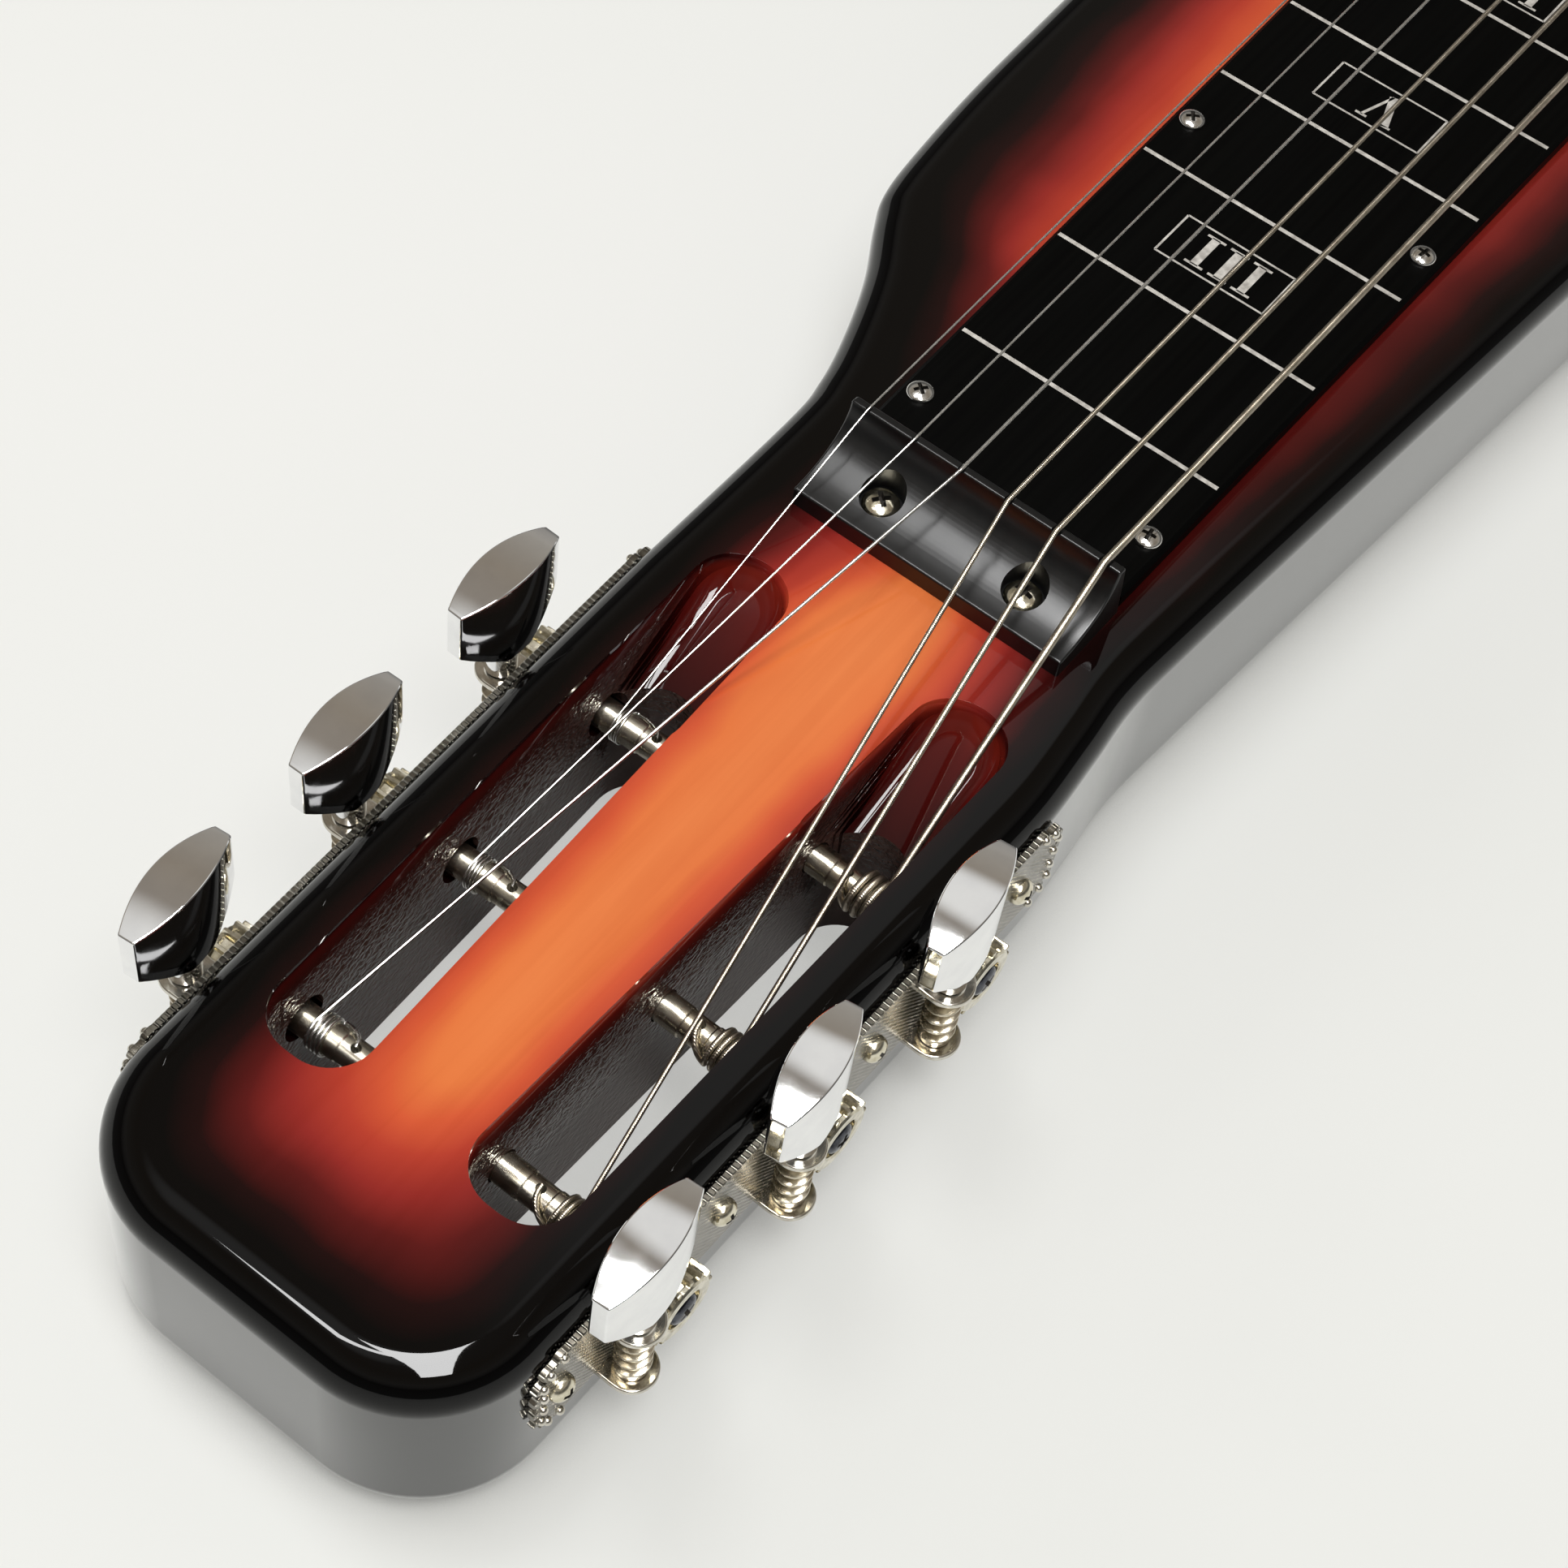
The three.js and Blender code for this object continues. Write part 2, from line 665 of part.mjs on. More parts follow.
function buttonGeometry() {
  const half = button_length / 2;
  const bottom = button_top - button_side_height;
  const plan = [];
  for (const side of [1, -1]) {
    for (let step = 0; step <= button_steps; step += 1) {
      const along = side * (1 - 2 * step / button_steps);
      const out = button_end_width + (button_width - button_end_width) * (1 - along * along);
      plan.push([along * half, side * out / 2]);
    }
  }
  const crown = [];
  for (let step = 0; step <= button_steps; step += 1) {
    const along = 1 - 2 * step / button_steps;
    crown.push([along * half, button_top - button_crown * along * along]);
  }
  const low = bottom - button_taper_height;
  const side_view = [[stem_radius, low], [half, bottom], ...crown, [-half, bottom], [-stem_radius, low]];
  const stem_bottom = ear_spacing / 2 + ear_thickness / 2 + running_gap;
  const body = toSolid(upright(plan, low, button_top))
    .intersect(toSolid(crosswise(side_view, -button_width, button_width)));
  const stem = toSolid(drill(stem_radius, stem_bottom, bottom));
  const bore_radius = worm_shaft_radius + running_gap;
  const bore = toSolid(drill(bore_radius, stem_bottom - cut_overrun, worm_top + running_gap, small_sides));
  return toGeometry(body.add(stem).subtract(bore));
}

function gearGeometry() {
  const corners = [
    [gear_root_radius, -tooth_root_share],
    [gear_tip_radius, -tooth_tip_share],
    [gear_tip_radius, tooth_tip_share],
    [gear_root_radius, tooth_root_share],
  ];
  const points = [];
  for (let tooth = 0; tooth < gear_teeth; tooth += 1) {
    for (const [radius, share] of corners) {
      const turn = Math.PI + 2 * Math.PI * (tooth + share / 2) / gear_teeth;
      points.push([radius * Math.cos(turn), radius * Math.sin(turn)]);
    }
  }
  const solid = toSolid(crosswise(points, -gear_thickness / 2, gear_thickness / 2));
  const hole = alongY(drill(spigot_radius + running_gap, -gear_thickness, gear_thickness), 1);
  return toGeometry(solid.subtract(toSolid(hole)));
}

// The post's axis is drawn along +Z from the wall outwards, then laid along Y
function postGeometry(side) {
  const plate_face = running_gap + tuner_plate_thickness;
  const gear_back = worm_stand_off - gear_thickness / 2;
  const spigot_end = gear_back + gear_thickness * spigot_length_share;
  const inner_end = -post_end_depth + running_gap;
  const profile = [
    [0, inner_end], [post_radius, inner_end], [post_radius, plate_face + running_gap],
    [post_collar_radius, plate_face + running_gap], [post_collar_radius, gear_back - running_gap],
    [spigot_radius, gear_back - running_gap], [spigot_radius, spigot_end],
    [gear_screw_shank_radius + running_gap, spigot_end],
    [gear_screw_shank_radius + running_gap, plate_face], [0, plate_face],
  ];
  const hole = drill(string_hole_radius, -2 * post_radius, 2 * post_radius, string_sides)
    .translate(0, side * stringHoleDepth(), 0);
  return toGeometry(toSolid(alongY(turned(profile, small_sides), side)).subtract(toSolid(hole)));
}

function stringHoleDepth() {
  return -rail_width - winding_from_slot_edge - windingWidth(string_count - 1) - 2 * string_hole_radius;
}

function windingPitch(index) {
  return string_diameters[index] + winding_self_gap;
}

function windingWidth(index) {
  return windingPitch(index) * winding_turns;
}

function gearScrewGeometry(side) {
  const gear_face = worm_stand_off + gear_thickness / 2 + running_gap;
  const tip = running_gap + tuner_plate_thickness + running_gap;
  return alongY(turned([
    [0, tip], [gear_screw_shank_radius, tip], [gear_screw_shank_radius, gear_face],
    [gear_screw_head_radius, gear_face],
    [gear_screw_head_radius * head_crown_share, gear_face + gear_screw_head_height],
    [0, gear_face + gear_screw_head_height],
  ], small_sides), side);
}

function makeTuners() {
  const worm = wormGeometry();
  const button = buttonGeometry();
  const gear = gearGeometry();
  for (const side of [1, -1]) {
    const frame = wallFrame(side);
    guitar.add(frame);
    makeTunerPlate(frame, side, side > 0 ? 'tuner_plate_thin_side' : 'tuner_plate_thick_side');
    postOffsets().forEach((offset, row) => {
      const label = side > 0 ? tuners_per_side - row : tuners_per_side + 1 + row;
      const y = side * worm_stand_off;
      place(frame, `tuner_button_${label}`, button, chrome, wormX(offset), y)
        .rotation.z = THREE.MathUtils.degToRad(button_turns_deg[label - 1]);
      place(frame, `worm_${label}`, worm, nickel, wormX(offset), y);
      place(frame, `gear_${label}`, gear, nickel, offset, y);
      place(frame, `string_post_${label}`, postGeometry(side), nickel, offset);
      place(frame, `gear_screw_${label}`, gearScrewGeometry(side), nickel, offset);
    });
  }
}

makeTuners();

// Bridge: a bent steel plate whose rear lip anchors the strings, with a grooved saddle bar on it
const bridge_plate_before_saddle = 12;
const bridge_plate_behind_saddle = 28;
const bridge_past_saddle = 4;
const bridge_plate_thickness = 2;
const bridge_lip_height = 13;
const bridge_hole_height = 7;
const saddle_width = 7;
const saddle_end_margin = 5;
const saddle_steps = 6;
const ball_radius = 1.9;
const ball_length = 3.6;

const saddle_half_width = bridge_string_spacing * (string_count - 1) / 2 + saddle_end_margin;
const bridge_half_width = saddle_half_width + bridge_past_saddle;

function makeBridge() {
  const front = bridge_x - bridge_plate_before_saddle;
  const back = bridge_x + bridge_plate_behind_saddle;
  const top = deck + bridge_plate_thickness;
  const plate = crosswise([
    [front, deck], [front, top], [back - bridge_plate_thickness, top],
    [back - bridge_plate_thickness, deck + bridge_lip_height], [back, deck + bridge_lip_height], [back, deck],
  ], -bridge_half_width, bridge_half_width);
  const holes = string_diameters.map((diameter, index) => {
    const half = diameter / 2 + running_gap;
    const y = stringY(index, bridge_string_spacing);
    return block([back - 2 * bridge_plate_thickness, y - half, deck + bridge_hole_height - half],
      [back + cut_overrun, y + half, deck + bridge_lip_height + cut_overrun]);
  });
  place(guitar, 'bridge_plate', cutAll(plate, holes), chrome);

  const saddle_round = saddle_width / 2;
  const shoulder = deck + saddle_height - saddle_round;
  const section = [[bridge_x + saddle_round, top], [bridge_x - saddle_round, top]];
  for (let step = 0; step <= saddle_steps; step += 1) {
    const turn = Math.PI * (1 - step / saddle_steps);
    section.push([bridge_x + saddle_round * Math.cos(turn), shoulder + saddle_round * Math.sin(turn)]);
  }
  place(guitar, 'saddle', crosswise(section, -saddle_half_width, saddle_half_width), chrome);
}

makeBridge();

// Strings: each runs from its ball end behind the bridge's lip over the saddle and the nut, down to
// its post, and is wound round it with a gap between turns
function windingPoints(index, from) {
  const side = index < tuners_per_side ? 1 : -1;
  const row = side > 0 ? tuners_per_side - 1 - index : index - tuners_per_side;
  const frame = wallFrame(side);
  const toward_nut = new THREE.Vector3(1, 0, 0).transformDirection(frame.matrix);
  const inward = new THREE.Vector3(0, -side, 0).transformDirection(frame.matrix);
  const up = new THREE.Vector3(0, 0, 1);
  const post = new THREE.Vector3(postOffsets()[row], -side * (rail_width + winding_from_slot_edge), 0)
    .applyMatrix4(frame.matrix);
  const clear_radius = post_radius + string_diameters[index] / 2 + running_gap;
  const radius = clear_radius / Math.cos(Math.PI / winding_steps);
  const reach = from.clone().sub(post);
  const run = reach.dot(toward_nut);
  const start = Math.atan2(reach.z, run) - Math.asin(radius / Math.hypot(run, reach.z));
  return Array.from({ length: winding_turns * winding_steps + 1 }, (_, step) => {
    const turns = step / winding_steps;
    const angle = start + 2 * Math.PI * turns;
    return post.clone()
      .addScaledVector(toward_nut, -radius * Math.sin(angle))
      .addScaledVector(up, radius * Math.cos(angle))
      .addScaledVector(inward, windingPitch(index) * turns);
  });
}

function makeString(diameter, index) {
  const radius = diameter / 2;
  const bridge_y = stringY(index, bridge_string_spacing);
  const nut_y = stringY(index, nut_string_spacing);
  const lip_x = bridge_x + bridge_plate_behind_saddle;
  const hole_z = deck + bridge_hole_height;
  const bend = saddle_width / 2 + running_gap + radius;
  const bend_z = deck + saddle_height - saddle_width / 2;
  const drop = bend_z - hole_z;
  const back_run = lip_x - bridge_x;
  const leave = Math.PI / 2 + Math.atan2(drop, back_run) - Math.acos(bend / Math.hypot(back_run, drop));
  const ball_start = lip_x + running_gap;
  const at_nut = new THREE.Vector3(nut_x - nut_ridge_width, nut_y, deck + string_height_at_nut);
  const ball = [ball_start + ball_length, ball_start].map((x) => new THREE.Vector3(x, bridge_y, hole_z));
  const wire = [
    [ball_start, bridge_y, hole_z],
    [lip_x - bridge_plate_thickness, bridge_y, hole_z],
    [bridge_x + bend * Math.sin(leave), bridge_y, bend_z + bend * Math.cos(leave)],
    [bridge_x, bridge_y, bend_z + bend],
    [nut_x, nut_y, at_nut.z],
  ].map((point) => new THREE.Vector3(...point));
  const winding = windingPoints(index, at_nut);
  const points = [...ball, ...wire, at_nut, ...winding];
  const radii = points.map((_, ring) => (ring < ball.length ? ball_radius : radius));
  place(guitar, `string_${index + 1}`, tube(points, radii, string_sides), steel_wire);
  const gap = leastWindingGap(winding, diameter);
  console.log(`string_${index + 1}: least gap between turns ${gap.toFixed(2)} mm`);
}

// The least gap between two turns of a winding, measured on its points
function leastWindingGap(points, diameter) {
  let least = Infinity;
  points.forEach((from, index) => {
    for (const to of points.slice(index + winding_steps / 2)) {
      least = Math.min(least, from.distanceTo(to) - diameter);
    }
  });
  return least;
}

string_diameters.forEach(makeString);

// Pickup: cover, wound coil and bar magnet, standing in their pocket
function ovalPlan(length, width) {
  const straight = length / 2 - width / 2;
  const points = [];
  for (const end of [1, -1]) {
    for (let step = 0; step <= pickup_end_steps; step += 1) {
      const turn = Math.PI * step / pickup_end_steps;
      points.push([end * width / 2 * Math.cos(turn), end * (straight + width / 2 * Math.sin(turn))]);
    }
  }
  return points;
}

function makePickup() {
  const base = pickup_floor + magnet_height + running_gap;
  const cover_top = deck + pickup_rise;
  const outside = upright(ovalPlan(pickup_length, pickup_width), pickup_floor, cover_top);
  const inside = upright(
    ovalPlan(pickup_length - 2 * pickup_wall, pickup_width - 2 * pickup_wall),
    pickup_floor - cut_overrun,
    cover_top - pickup_wall,
  );
  place(guitar, 'pickup_cover', cutAll(outside, [inside]), chrome, pickup_x);
  const room = pickup_wall + coil_margin;
  const coil = upright(ovalPlan(pickup_length - 2 * room, pickup_width - 2 * room), base, base + coil_height);
  place(guitar, 'pickup_coil', coil, copper, pickup_x);
  const magnet = block([-magnet_width / 2, -pickup_length / 2 + 2 * room, pickup_floor],
    [magnet_width / 2, pickup_length / 2 - 2 * room, base - running_gap]);
  place(guitar, 'pickup_magnet', magnet, nickel, pickup_x);
}

makePickup();

// Controls: two rotary controls with turned knobs, and an output socket, all hung from the plate
const knob_radius = 9.5;
const knob_height = 15;
const knob_crown = 1.5;
const capacitor_radius = 3;
const capacitor_length = 9;

function platePlan() {
  const points = [];
  const half_x = plate_length / 2 - plate_corner;
  const half_y = plate_width / 2 - plate_corner;
  [[1, 1], [-1, 1], [-1, -1], [1, -1]].forEach(([along, across], quarter) => {
    for (let step = 0; step <= plate_corner_steps; step += 1) {
      const turn = Math.PI / 2 * (quarter + step / plate_corner_steps);
      points.push([
        along * half_x + plate_corner * Math.cos(turn),
        across * half_y + plate_corner * Math.sin(turn),
      ]);
    }
  });
  return points;
}

function makeControls() {
  const plate_top = deck + plate_thickness;
  const holes = [bushing_radius, bushing_radius, jack_bore + jack_wall].map((radius, index) => {
    const hole = drill(radius + running_gap, deck - cut_overrun, plate_top + cut_overrun);
    return hole.translate(control_x[index] - plate_x, 0, 0);
  });
  const plate = cutAll(upright(platePlan(), deck, plate_top), holes);
  place(guitar, 'control_plate', plate, chrome, plate_x, plate_y);

  const case_top = deck - running_gap;
  const case_bottom = case_top - pot_height;
  const bushing_top = plate_top + bushing_rise;
  const shaft_bottom = case_top - shaft_in_case;
  const shaft_top = bushing_top + shaft_rise;
  const pot = [
    [0, case_bottom], [pot_radius, case_bottom], [pot_radius, case_top], [bushing_radius, case_top],
    [bushing_radius, bushing_top], [shaft_radius + running_gap, bushing_top],
    [shaft_radius + running_gap, shaft_bottom - running_gap], [0, shaft_bottom - running_gap],
  ];
  const shaft = [[0, shaft_bottom], [shaft_radius, shaft_bottom], [shaft_radius, shaft_top], [0, shaft_top]];
  const knob_bottom = bushing_top + running_gap;
  const knob_top = knob_bottom + knob_height;
  const knob = [
    [shaft_radius + running_gap, knob_bottom], [knob_radius, knob_bottom],
    [knob_radius, knob_top - knob_crown], [knob_radius - knob_crown, knob_top],
    [0, knob_top], [0, shaft_top + running_gap],
    [shaft_radius + running_gap, shaft_top + running_gap], [shaft_radius + running_gap, knob_bottom],
  ];
  ['volume', 'tone'].forEach((name, index) => {
    place(guitar, `${name}_pot`, turned(pot), nickel, control_x[index], plate_y);
    place(guitar, `${name}_shaft`, turned(shaft), nickel, control_x[index], plate_y);
    place(guitar, `${name}_knob`, turned(knob), chrome, control_x[index], plate_y);
  });

  const jack_outer = jack_bore + jack_wall;
  const jack = [
    [jack_bore, deck - jack_depth], [jack_outer, deck - jack_depth], [jack_outer, plate_top + running_gap],
    [jack_collar, plate_top + running_gap], [jack_collar, plate_top + running_gap + jack_collar_rise],
    [jack_bore, plate_top + running_gap + jack_collar_rise], [jack_bore, deck - jack_depth],
  ];
  place(guitar, 'output_jack', turned(jack), nickel, control_x[2], plate_y);

  const capacitor = drill(capacitor_radius, 0, capacitor_length, small_sides).rotateY(Math.PI / 2);
  place(guitar, 'tone_capacitor', capacitor, copper, control_x[1] - capacitor_length / 2, plate_y,
    case_bottom - running_gap - capacitor_radius);
}

makeControls();

// Leads inside the body: coil to volume control, and tone control to output socket
function leadTube(points) {
  return tube(points.map(([x, y, z]) => new THREE.Vector3(x, y, z)), lead_radius, string_sides);
}

function makeLeads() {
  const lead_z = pickup_floor + channel_half;
  const solder_z = deck - running_gap - pot_height - running_gap - lead_radius;
  const coil_edge = -pickup_length / 2 - 2 * running_gap;
  const lead_y = plate_y + plate_width / 2 - pocket_inset - 2 * lead_radius;
  place(guitar, 'pickup_lead', leadTube([
    [pickup_x, coil_edge, lead_z],
    [pickup_x, lead_y + lead_radius, lead_z],
    [pickup_x - channel_half, lead_y, (lead_z + solder_z) / 2],
    [pickup_x - 2 * channel_half, lead_y, solder_z],
    [control_x[0], lead_y, solder_z],
  ]), cloth_wire);
  const jack_side = control_x[2] - jack_bore - jack_wall - running_gap;
  const tone_edge = control_x[1] + (capacitor_length / 2 + pot_radius) / 2;
  place(guitar, 'jack_lead', leadTube([
    [tone_edge, plate_y, solder_z],
    [(tone_edge + jack_side) / 2, plate_y, solder_z - lead_sag],
    [jack_side, plate_y, solder_z],
  ]), cloth_wire);
}

makeLeads();

export default guitar;
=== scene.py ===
import math

import bmesh
import bpy
from mathutils import Matrix, Vector


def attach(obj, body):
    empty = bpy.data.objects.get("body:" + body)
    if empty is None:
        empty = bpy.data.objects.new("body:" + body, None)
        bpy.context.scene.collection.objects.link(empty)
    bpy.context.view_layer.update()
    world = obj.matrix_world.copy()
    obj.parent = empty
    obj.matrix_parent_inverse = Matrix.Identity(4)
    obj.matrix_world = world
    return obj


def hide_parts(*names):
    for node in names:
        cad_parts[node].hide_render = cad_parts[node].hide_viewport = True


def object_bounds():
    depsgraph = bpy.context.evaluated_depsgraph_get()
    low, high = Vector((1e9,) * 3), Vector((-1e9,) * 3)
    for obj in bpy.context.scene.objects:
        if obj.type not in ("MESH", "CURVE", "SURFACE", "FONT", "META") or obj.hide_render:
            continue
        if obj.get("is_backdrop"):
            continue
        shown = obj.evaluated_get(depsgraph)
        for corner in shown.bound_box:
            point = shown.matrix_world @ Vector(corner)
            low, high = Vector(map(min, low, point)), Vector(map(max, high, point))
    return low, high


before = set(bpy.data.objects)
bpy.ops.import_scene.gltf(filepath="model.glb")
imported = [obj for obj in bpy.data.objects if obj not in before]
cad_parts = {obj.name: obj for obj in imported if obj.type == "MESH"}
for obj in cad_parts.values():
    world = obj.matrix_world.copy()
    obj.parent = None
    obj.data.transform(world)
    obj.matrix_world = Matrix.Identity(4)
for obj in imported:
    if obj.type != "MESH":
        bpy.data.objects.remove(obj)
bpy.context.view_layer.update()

mm = 0.001


# The table: a white laminate top, wide enough to fill every view. It carries the instrument and
# takes its soft shadow, and is no part of it.
def paint(red, green, blue):
    """A colour chosen on a 0-255 card, as the shader wants it."""
    shares = [value / 255 for value in (red, green, blue)]
    return tuple(s / 12.92 if s <= 0.04045 else ((s + 0.055) / 1.055) ** 2.4 for s in shares) + (1.0,)


def add(kind, inputs=(), **settings):
    """One shader node in the tree under work, with its settings, its fixed inputs and its links."""
    node = tree.nodes.new("ShaderNode" + kind)
    for name, value in settings.items():
        setattr(node, name, value)
    for socket, value in dict(inputs).items():
        if isinstance(value, bpy.types.NodeSocket):
            tree.links.new(value, node.inputs[socket])
        else:
            node.inputs[socket].default_value = value
    return node


def calc(kind, *values):
    return add("Math", dict(enumerate(values)), operation=kind).outputs[0]


def mix(kind, share, below, above):
    """One colour laid over another."""
    return add("Mix", {0: share, 6: below, 7: above}, data_type="RGBA", blend_type=kind).outputs[2]


def ramp(factor, stops):
    """A colour ramp through (place, colour) stops, where three numbers are a colour on the card."""
    node = add("ValToRGB", {"Fac": factor})
    elements = node.color_ramp.elements
    while len(elements) < len(stops):
        elements.new(0.5)
    for element, (place, colour) in zip(elements, stops):
        element.position = place
        element.color = colour if len(colour) == 4 else paint(*colour)
    return node.outputs["Color"]


def spread(factor, low, high, start=0.0, end=1.0):
    """The factor between start and end, carried over to low and high."""
    return add("MapRange", {0: factor, 1: start, 2: end, 3: low, 4: high}).outputs[0]


def axes(kind):
    """The X, Y and Z of one kind of coordinate."""
    return add("SeparateXYZ", {0: add("TexCoord").outputs[kind]}).outputs


def mottle(size, detail=3.0, stretch=(1, 1, 1), distortion=0.0):
    """Noise with spots of about that size in millimetres, in the object's own coordinates."""
    place = add("TexCoord").outputs["Object"]
    turned = add("Mapping", {"Vector": place, "Scale": [s / (size * mm) for s in stretch]}).outputs[0]
    return add("TexNoise", {"Vector": turned, "Scale": 1.0, "Detail": detail,
                            "Distortion": distortion}).outputs["Fac"]


def new_finish(name, **sockets):
    """Starts a material with these fixed values, which the node helpers then work in."""
    global tree, shader
    finish = bpy.data.materials.new(name)
    finish.use_nodes = True
    tree = finish.node_tree
    shader = tree.nodes["Principled BSDF"]
    for socket, value in sockets.items():
        shader.inputs[socket.replace("_", " ")].default_value = value
    return finish


def feed(**links):
    """Links node outputs to the shader's sockets."""
    for socket, output in links.items():
        tree.links.new(output, shader.inputs[socket.replace("_", " ")])


def relief(height, strength, depth):
    """A bump of that depth in millimetres, fed to the shader and handed back."""
    bump = add("Bump", {"Height": height, "Strength": strength, "Distance": depth * mm}).outputs["Normal"]
    feed(Normal=bump)
    return bump


def put(name, data):
    """A new object in the scene."""
    made = bpy.data.objects.new(name, data)
    bpy.context.scene.collection.objects.link(made)
    return made


def make_object(name, solid):
    mesh = bpy.data.meshes.new(name)
    solid.to_mesh(mesh)
    solid.free()
    return put(name, mesh)


laminate = new_finish("white_laminate", Specular_IOR_Level=0.2)
pale = ramp(mottle(260, 2.0), [(0.3, (237, 238, 234)), (0.7, (241, 241, 238))])
close_by = add("AmbientOcclusion", {"Distance": 13 * mm}, samples=4).outputs["AO"]
# Painted shade: the laminate's colour is darkened where the instrument stands close by.
painted_shade_at_foot = spread(close_by, 0.35, 1.0, 0.15, 0.6)
feed(Base_Color=mix("MULTIPLY", 1.0, pale, painted_shade_at_foot), Roughness=spread(mottle(9, 4.0), 0.42, 0.5))
# Seen straight or mirrored, the white top also glows with part of its own brightness. Painted shade
# cuts that glow back at the instrument's foot and under its head.
light_path = add("LightPath").outputs
spot = axes("Object")
near_middle = calc("LESS_THAN", calc("ABSOLUTE", spot["Y"]), 32 * mm)
under_head = calc("MULTIPLY", near_middle, calc("COMPARE", spot["X"], -312 * mm, 62 * mm))
open_share = calc("MAXIMUM", spread(close_by, 0.25, 0.62, 0.4, 0.95), spread(under_head, 0.0, 0.5))
mirrored_share = calc("MULTIPLY", spread(close_by, 0.0, 0.7, 0.3, 0.6), spread(under_head, 1.0, 0.17))
seen = calc("MAXIMUM", calc("MULTIPLY", light_path["Is Camera Ray"], open_share),
            calc("MULTIPLY", light_path["Is Glossy Ray"], mirrored_share))
own = add("Emission", {"Color": pale, "Strength": 1.0})
blend = add("MixShader", {0: seen, 1: shader.outputs[0], 2: own.outputs[0]})
tree.links.new(blend.outputs[0], tree.nodes["Material Output"].inputs["Surface"])
top = bmesh.new()
bmesh.ops.create_grid(top, x_segments=2, y_segments=2, size=4.0)
bmesh.ops.translate(top, verts=top.verts, vec=(0, 0, -0.2 * mm))
table = make_object("table", top)
table.data.materials.append(laminate)
table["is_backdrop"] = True

# The light: three panes light the faces and don't show in polish. A long window and its frame show
# there only, as glints. The room is pale low down, dimmer overhead, and dim in polish just above the
# table, where dark furniture would stand.
bpy.context.scene.view_settings.view_transform = "Standard"
room = bpy.data.worlds.new("room")
bpy.context.scene.world = room
room.use_nodes = True
tree = room.node_tree
sky = add("TexCoord").outputs["Generated"]
height_share = spread(axes("Generated")["Z"], 0.0, 1.0, -1.0, 1.0)
glow = ramp(height_share, [(0.0, (240, 240, 237)), (0.5, (240, 240, 237)), (0.66, (216, 214, 210)),
                           (0.8, (152, 147, 139)), (0.9, (138, 129, 117)), (1.0, (142, 136, 129))])
dim = (0.16, 0.16, 0.16, 1)
dim_band = ramp(height_share, [(0.5, (1, 1, 1, 1)), (0.52, dim), (0.7, dim), (0.79, (1, 1, 1, 1))])
glow = mix("MULTIPLY", add("LightPath").outputs["Is Glossy Ray"], glow, dim_band)
for direction, edge, full in (((-0.08, 0.2, 0.975), 0.93, 0.99), ((0.48, 0.13, 0.87), 0.976, 0.995)):
    toward = add("VectorMath", {0: sky, 1: direction}, operation="DOT_PRODUCT").outputs["Value"]
    share = add("MapRange", {0: toward, 1: edge, 2: full, 3: 0.0, 4: 1.0}, interpolation_type="SMOOTHSTEP")
    glow = mix("MIX", share.outputs[0], glow, paint(226, 225, 222))
tree.links.new(glow, tree.nodes["Background"].inputs["Color"])
def stand_at(place, right, up, back):
    """The placing of a lamp or a camera with those axes."""
    return Matrix.Translation(place) @ Matrix((right, up, back)).transposed().to_4x4()


for name, place, aim, size, power, lights_faces in (
    ("bright_pane", (-0.56, -0.42, 1.5), (-0.36, -0.03, 0.0), (0.5, 0.5), 7.4, True),
    ("soft_pane", (-0.2, 0.42, 1.6), (-0.3, 0.0, 0.0), (0.34, 0.4), 6.2, True),
    ("side_pane", (-0.6, 1.7, 1.2), (-0.3, 0.0, 0.0), (1.2, 0.8), 11.0, True),
    ("window_glint", (-0.549, -0.23, 1.519), (-0.369, 0.17, 0.099), (1.5, 0.37), 54.0, False),
    ("window_frame_glint", (-0.664, 0.378, 1.676), (-0.484, 0.778, 0.256), (0.14, 0.6), 8.0, False),
):
    lamp = bpy.data.lights.new(name, "AREA")
    lamp.shape = "RECTANGLE"
    lamp.size, lamp.size_y = size
    lamp.energy = power
    holder = put(name, lamp)
    back = (Vector(place) - Vector(aim)).normalized()
    left = Vector((1, 0, 0)) if lights_faces else Vector((0.63, 0.77, 0))
    left = (left - back * back.dot(left)).normalized()
    holder.matrix_world = stand_at(place, left, back.cross(left), back)
    holder.visible_diffuse = lights_faces
    holder.visible_glossy = not lights_faces

# The camera looks down on the head from the thick-string side. Its lens, place and axes were solved on
# the fret lines.
eye = put("camera", bpy.data.cameras.new("camera"))
eye.data.sensor_width = 36.0
eye.data.lens = 71.06
eye.data.clip_start = 0.01
eye.matrix_world = stand_at((-0.523747, -0.140536, 0.442548), (0.60595596, -0.78965473, 0.09624337),
                            (0.62505225, 0.5474611, 0.55641354), (-0.49206409, -0.27700496, 0.82531278))
bpy.context.scene.camera = eye


# Body: one thick plank, cut to outline, its long edges rounded over, with two routed string slots
# through the head. It is stained orange, sprayed red and black from the edge in, and lacquered.
deck = 43 * mm
nut_x = -224 * mm
head_end, tail_end = -404 * mm, 404 * mm
head_middle = -321 * mm
head_corner, head_end_half_width = 22.8 * mm, 38.575 * mm
body_half_width, neck_half_width = 84 * mm, 40.875 * mm
neck_before_nut, shoulder_length, shoulder_step = 40 * mm, 61 * mm, 20.7 * mm
waist_before_nut, waist_length, waist_depth = 50 * mm, 60 * mm, 2.4 * mm
head_taper = 2.3 / (180 - 22.8 - 40)
head_turn = math.atan(head_taper)
post_height = 25.7 * mm
post_offsets = [-37.2 * mm, 0.0, 37.2 * mm]
rail_width = 10.3 * mm
slot_start, slot_end = -370.5 * mm, -274.8 * mm
scoop_start, scoop_end = -296 * mm, -252.4 * mm
beam_half_start, beam_growth = 10.4 * mm, 3.4 * mm


